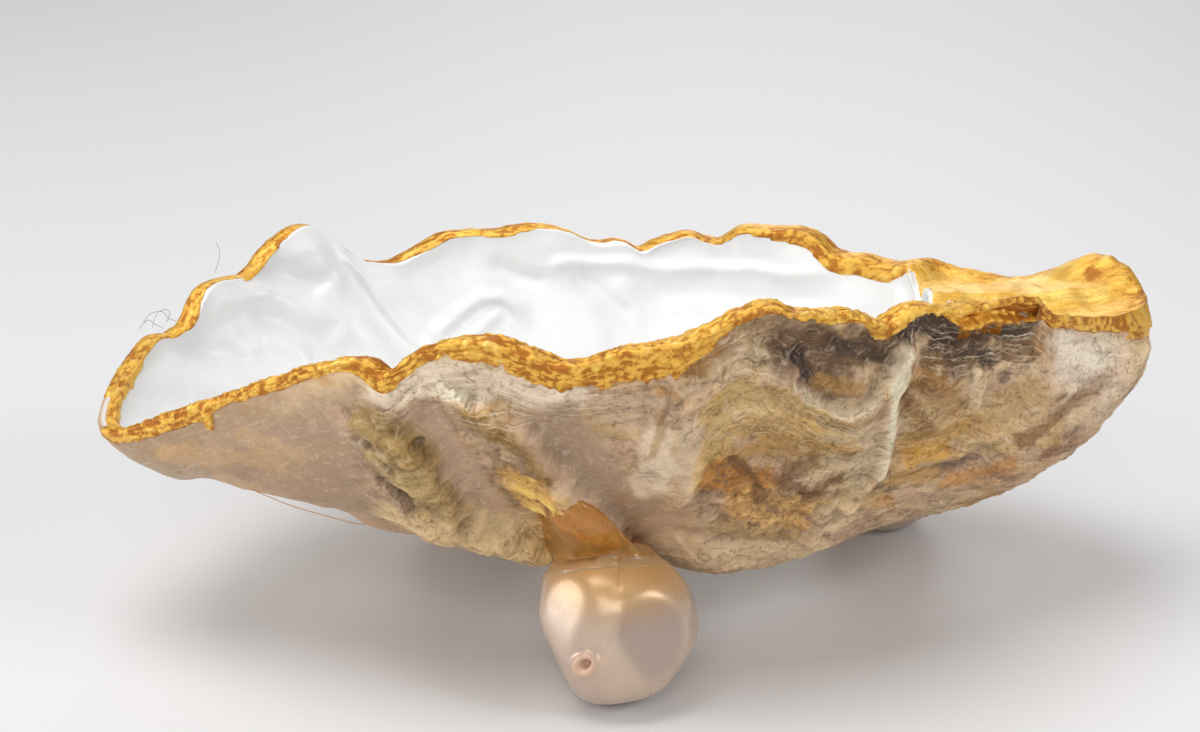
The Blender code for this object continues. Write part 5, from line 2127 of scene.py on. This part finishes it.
@dataclass
class Strand:
    """A thin round thread along a curve, such as a glue string or a fibre."""

    points: tuple[Spot, ...]
    radius: float
    sides: int = 8
    steps: int = 14
    skew: Spot = (0.13, 0.37, 0.92)

    def spine(self) -> Array:
        """Points along a smooth curve through the thread's knots.

        Returns:
            The points.
        """
        knots = np.array(self.points)
        knots = np.vstack([2 * knots[0] - knots[1], knots, 2 * knots[-1] - knots[-2]])
        part = np.linspace(0, 1, self.steps, endpoint=False)[:, None]
        stretches = zip(knots, knots[1:], knots[2:], knots[3:])
        return np.vstack([*(spline(*stretch, part) for stretch in stretches), knots[-2:-1]])

    def grid(self) -> Array:
        """The thread's skin, with a point at each end.

        Returns:
            Points, rings by turns.
        """
        spine = self.spine()
        along = unit(np.gradient(spine, axis=0))
        side = unit(np.cross(along, self.skew))
        other = np.cross(along, side)
        turn = np.arange(self.sides) / self.sides * math.tau
        thick = np.ones(len(spine)) * self.radius
        thick[[0, -1]] = 0.0
        ring = side[:, None] * np.cos(turn)[:, None] + other[:, None] * np.sin(turn)[:, None]
        return spine[:, None] + ring * thick[:, None, None]


@dataclass
class Strands:
    """Several threads joined into one piece."""

    name: str
    threads: tuple[Strand, ...]

    def build(self, finish: Material) -> Piece:
        """The joined threads' object.

        Args:
            finish: their material.

        Returns:
            The object.
        """
        points, faces = [], []
        for thread in self.threads:
            grid = thread.grid()
            skin = Skin(self.name, grid, Closure.RING)
            shape = skin.faces(grid.shape[0], grid.shape[1])[: -grid.shape[1]]
            faces.extend((shape + len(points)).tolist())
            points.extend((grid.reshape(-1, 3) * MM).tolist())
        mesh = bpy.data.meshes.new(self.name)
        mesh.from_pydata(points, [], faces)
        shape = bmesh.new()
        shape.from_mesh(mesh)
        bmesh.ops.remove_doubles(shape, verts=shape.verts, dist=1e-7)
        bmesh.ops.recalc_face_normals(shape, faces=shape.faces)
        shape.to_mesh(mesh)
        shape.free()
        mesh.shade_smooth()
        mesh.materials.append(finish)
        return placed(self.name, mesh)


@dataclass(frozen=True)
class FloorFinish:
    """A plain pale studio floor."""

    name: str = "studio floor"
    colour: Colour = (0.74, 0.74, 0.75)

    def material(self) -> Material:
        """The finished material.

        Returns:
            The material.
        """
        bench = NodeBench(self.name)
        bench.set(Base_Color=(*self.colour, 1.0), Roughness=0.6)
        return bench.material


@dataclass
class Studio:
    """The floor, the lamps, the backdrop and the camera."""

    camera_at: Spot = (-3.46, -183.3, 91.4)
    elevation: float = 20.0
    lens: float = 60.0
    floor_size: float = 3.0
    backdrop: Colour = (0.72, 0.73, 0.74)
    ambient: float = 0.26

    def floor(self) -> Piece:
        """A wide floor at the height that the dish stands on.

        Returns:
            The floor.
        """
        shape = bmesh.new()
        bmesh.ops.create_grid(shape, x_segments=2, y_segments=2, size=self.floor_size)
        mesh = bpy.data.meshes.new("studio_floor")
        shape.to_mesh(mesh)
        shape.free()
        mesh.materials.append(FloorFinish().material())
        return placed("studio_floor", mesh)

    def world(self) -> None:
        """Soft light from all round, and a pale backdrop for the eye, for mirrors and for glass."""
        world = bpy.data.worlds.new("studio")
        world.use_nodes = True
        nodes, links = world.node_tree.nodes, world.node_tree.links
        nodes.clear()
        path, seen, chosen = (nodes.new("ShaderNode" + kind) for kind in ("LightPath", "Math", "MixShader"))
        seen.operation, seen.use_clamp = "ADD", True
        links.new(path.outputs["Is Camera Ray"], seen.inputs[0])
        links.new(path.outputs["Is Transmission Ray"], seen.inputs[1])
        links.new(seen.outputs[0], chosen.inputs["Fac"])
        for place, colour, strength in ((1, (1.0, 1.0, 1.0), self.ambient), (2, self.backdrop, 1.0)):
            light = nodes.new("ShaderNodeBackground")
            light.inputs["Color"].default_value = (*colour, 1.0)
            light.inputs["Strength"].default_value = strength
            links.new(light.outputs[0], chosen.inputs[place])
        links.new(chosen.outputs[0], nodes.new("ShaderNodeOutputWorld").inputs["Surface"])
        bpy.context.scene.world = world

    def lamp(self, name: str, place: Spot, size: float, power: float) -> None:
        """A square soft box that looks at the dish.

        Args:
            name: the lamp's name.
            place: where it hangs, in millimetres.
            size: its side, in millimetres.
            power: its power in watts.
        """
        light = bpy.data.lights.new(name, "AREA")
        light.shape = "SQUARE"
        light.size = size * MM
        light.energy = power
        lamp = placed(name, light)
        lamp.location = Vector(place) * MM
        aim = Vector((0, 0, 20)) * MM - lamp.location
        lamp.rotation_euler = aim.to_track_quat("-Z", "Y").to_euler()

    def camera(self) -> None:
        """The camera, looking a little down at the dish's front."""
        lens = bpy.data.cameras.new("camera")
        lens.lens = self.lens
        lens.sensor_width = 36.0
        lens.clip_start = 0.01
        camera = placed("camera", lens)
        camera.location = Vector(self.camera_at) * MM
        camera.rotation_euler = (math.radians(90.0 - self.elevation), 0.0, 0.0)
        bpy.context.scene.camera = camera

    def build(self) -> None:
        """Set up the whole studio."""
        self.floor()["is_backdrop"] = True
        self.world()
        self.lamp("overhead_soft_box", (-140.0, -40.0, 620.0), 360.0, 2.3)
        self.lamp("left_window", (-560.0, -140.0, 170.0), 260.0, 1.3)
        self.lamp("front_fill", (-60.0, -560.0, 360.0), 300.0, 1.1)
        self.lamp("back_window", (80.0, 640.0, 330.0), 320.0, 0.9)
        self.lamp("right_kicker", (420.0, -200.0, 300.0), 160.0, 0.7)
        self.camera()
        bpy.context.scene.view_settings.view_transform = "Standard"


# Threads as X, Y and Z, each with its radius: two of glue, then four of lint.
GLUE_STRINGS: tuple[Strand, ...] = (
    Strand(
        (
            (-36, -14, 17.9), (-34.4, -13.2, 16.7), (-32.2, -11.6, 14.9), (-29.4, -10.2, 13.3),
            (-26.4, -9.2, 12), (-24.6, -8.6, 11.9),
        ),
        0.04,
    ),
    Strand(((-13.4, -13.8, 11.6), (-12.9, -14.2, 11.1), (-12.2, -14.3, 11.1), (-11.8, -14, 11.6)), 0.16),
)
LINT: tuple[Strand, ...] = (
    Strand(
        ((-48.9, 5.2, 27.4), (-48.3, 5.8, 28.1), (-47.2, 6.2, 28.2), (-46.6, 6.4, 27.4), (-46, 6.9, 27)),
        0.035,
    ),
    Strand(((-49.2, 4.4, 27), (-48.4, 5, 27.7), (-47.7, 5.2, 27.2), (-46.9, 5.6, 26.6)), 0.03),
    Strand(((-48, 5, 26.9), (-47.7, 5.6, 28), (-47, 6, 28.5), (-46.5, 6.6, 28), (-46.8, 6.2, 27.1)), 0.03),
    Strand(((-43, 12.6, 30.2), (-42.6, 12.9, 31.2), (-42.4, 13.1, 32.4), (-42.7, 13.2, 33.4)), 0.03),
)
# The front neck's edges, swelling and paleness, by the angle round it.
FRONT_NECK: dict[str, tuple[tuple[float, ...], ...]] = {
    "collar": ((0, 34), (90, 42), (180, 46), (225, 38), (270, 28), (315, 30), (360, 34)),
    "seats": (
        (0, 0.7, -17.2, 13.2), (45, 0.2, -14.6, 11.8), (90, -1.9, -12.4, 10.4), (135, -5.5, -13, 11),
        (180, -8.8, -15.2, 12.2), (200, -9.4, -17.6, 15), (215, -8.6, -20.6, 17.6),
        (230, -7.4, -22.2, 19.2), (245, -6.2, -23, 20.4), (258, -5.2, -23.4, 21), (270, -4.2, -23, 20.4),
        (285, -3, -21.8, 19), (300, -1.9, -20.6, 17.4), (315, -0.8, -19.2, 15.6), (335, 0.2, -18, 14.2),
        (360, 0.7, -17.2, 13.2),
    ),
    "bulge": ((0, 0), (195, 0.1), (225, 0.9), (250, 1.2), (285, 1.2), (315, 0.5), (345, 0), (360, 0)),
    "clear": ((0, 0.6), (60, 0.3), (180, 0.15), (225, 0), (290, 0), (330, 0.5), (360, 0.6)),
}
# Each foot's name, X and Y, radius, spin, turns round, and what is special about its neck.
FEET: tuple[tuple, ...] = (
    ("front", (-1.9, -20.2), 7.1, 0.0, 240, FRONT_NECK),
    ("rear_left", (-15.5, 18.4), 6.9, 2.3, 150, {}),
    ("rear_right", (27.3, 18.0), 6.8, 4.1, 150, {}),
)


def report(piece: Piece, slot: str, *nodes: str) -> None:
    """Ride a finished piece on the dish, hide the model's nodes that it replaces, and log it.

    Args:
        piece: the finished piece.
        slot: the material slot that it takes its finish from; not used.
        nodes: the model's nodes that it replaces.
    """
    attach(piece, "root")
    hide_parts(*nodes)
    LOG.info("%s: %d faces", piece.name, len(piece.data.polygons))


def main() -> None:
    """Load the frame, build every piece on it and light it."""
    logging.basicConfig(level=logging.INFO, format="%(name)s %(message)s")
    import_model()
    model_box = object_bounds()
    low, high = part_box("shell")
    room = Room(tuple(v / MM for v in low), tuple(v / MM for v in high))
    form = ShellForm()
    relief = OuterRelief(form)
    hollow = HollowRelief()
    gold = GoldPaint(form, relief, hollow, room)
    shell = OysterShell(form, relief, hollow, OuterTint(relief), gold, room).build()
    report(shell, "oyster_shell", "shell")
    report(WhitePaint(form, hollow, room).build(), "oyster_shell", "shell")
    report(gold.build(), "oyster_shell", "shell")
    pearly = PearlFinish().material()
    amber = AmberFinish().material()
    shell_tree = tree_of(shell)
    front = model_box[0][1] / MM
    for name, stand, radius, spin, turns, shape in FEET:
        pearl = PearlFoot(f"{name}_pearl", stand, radius, front, spin, turns, turns * 11 // 20)
        foot = pearl.build(pearly)
        report(foot, "pearl", f"{name}_pearl_foot")
        glue = GlueNeck(f"{name}_glue", stand, radius, **shape).build(shell_tree, tree_of(foot), amber)
        report(glue, "amber_glue", f"{name}_glue_pad")
    report(Strands("glue_string_and_bubble", GLUE_STRINGS).build(amber), "amber_glue")
    report(Strands("lint_fibres", LINT).build(LintFinish().material()), "amber_glue")
    Studio().build()


if __name__ == "__main__":
    main()
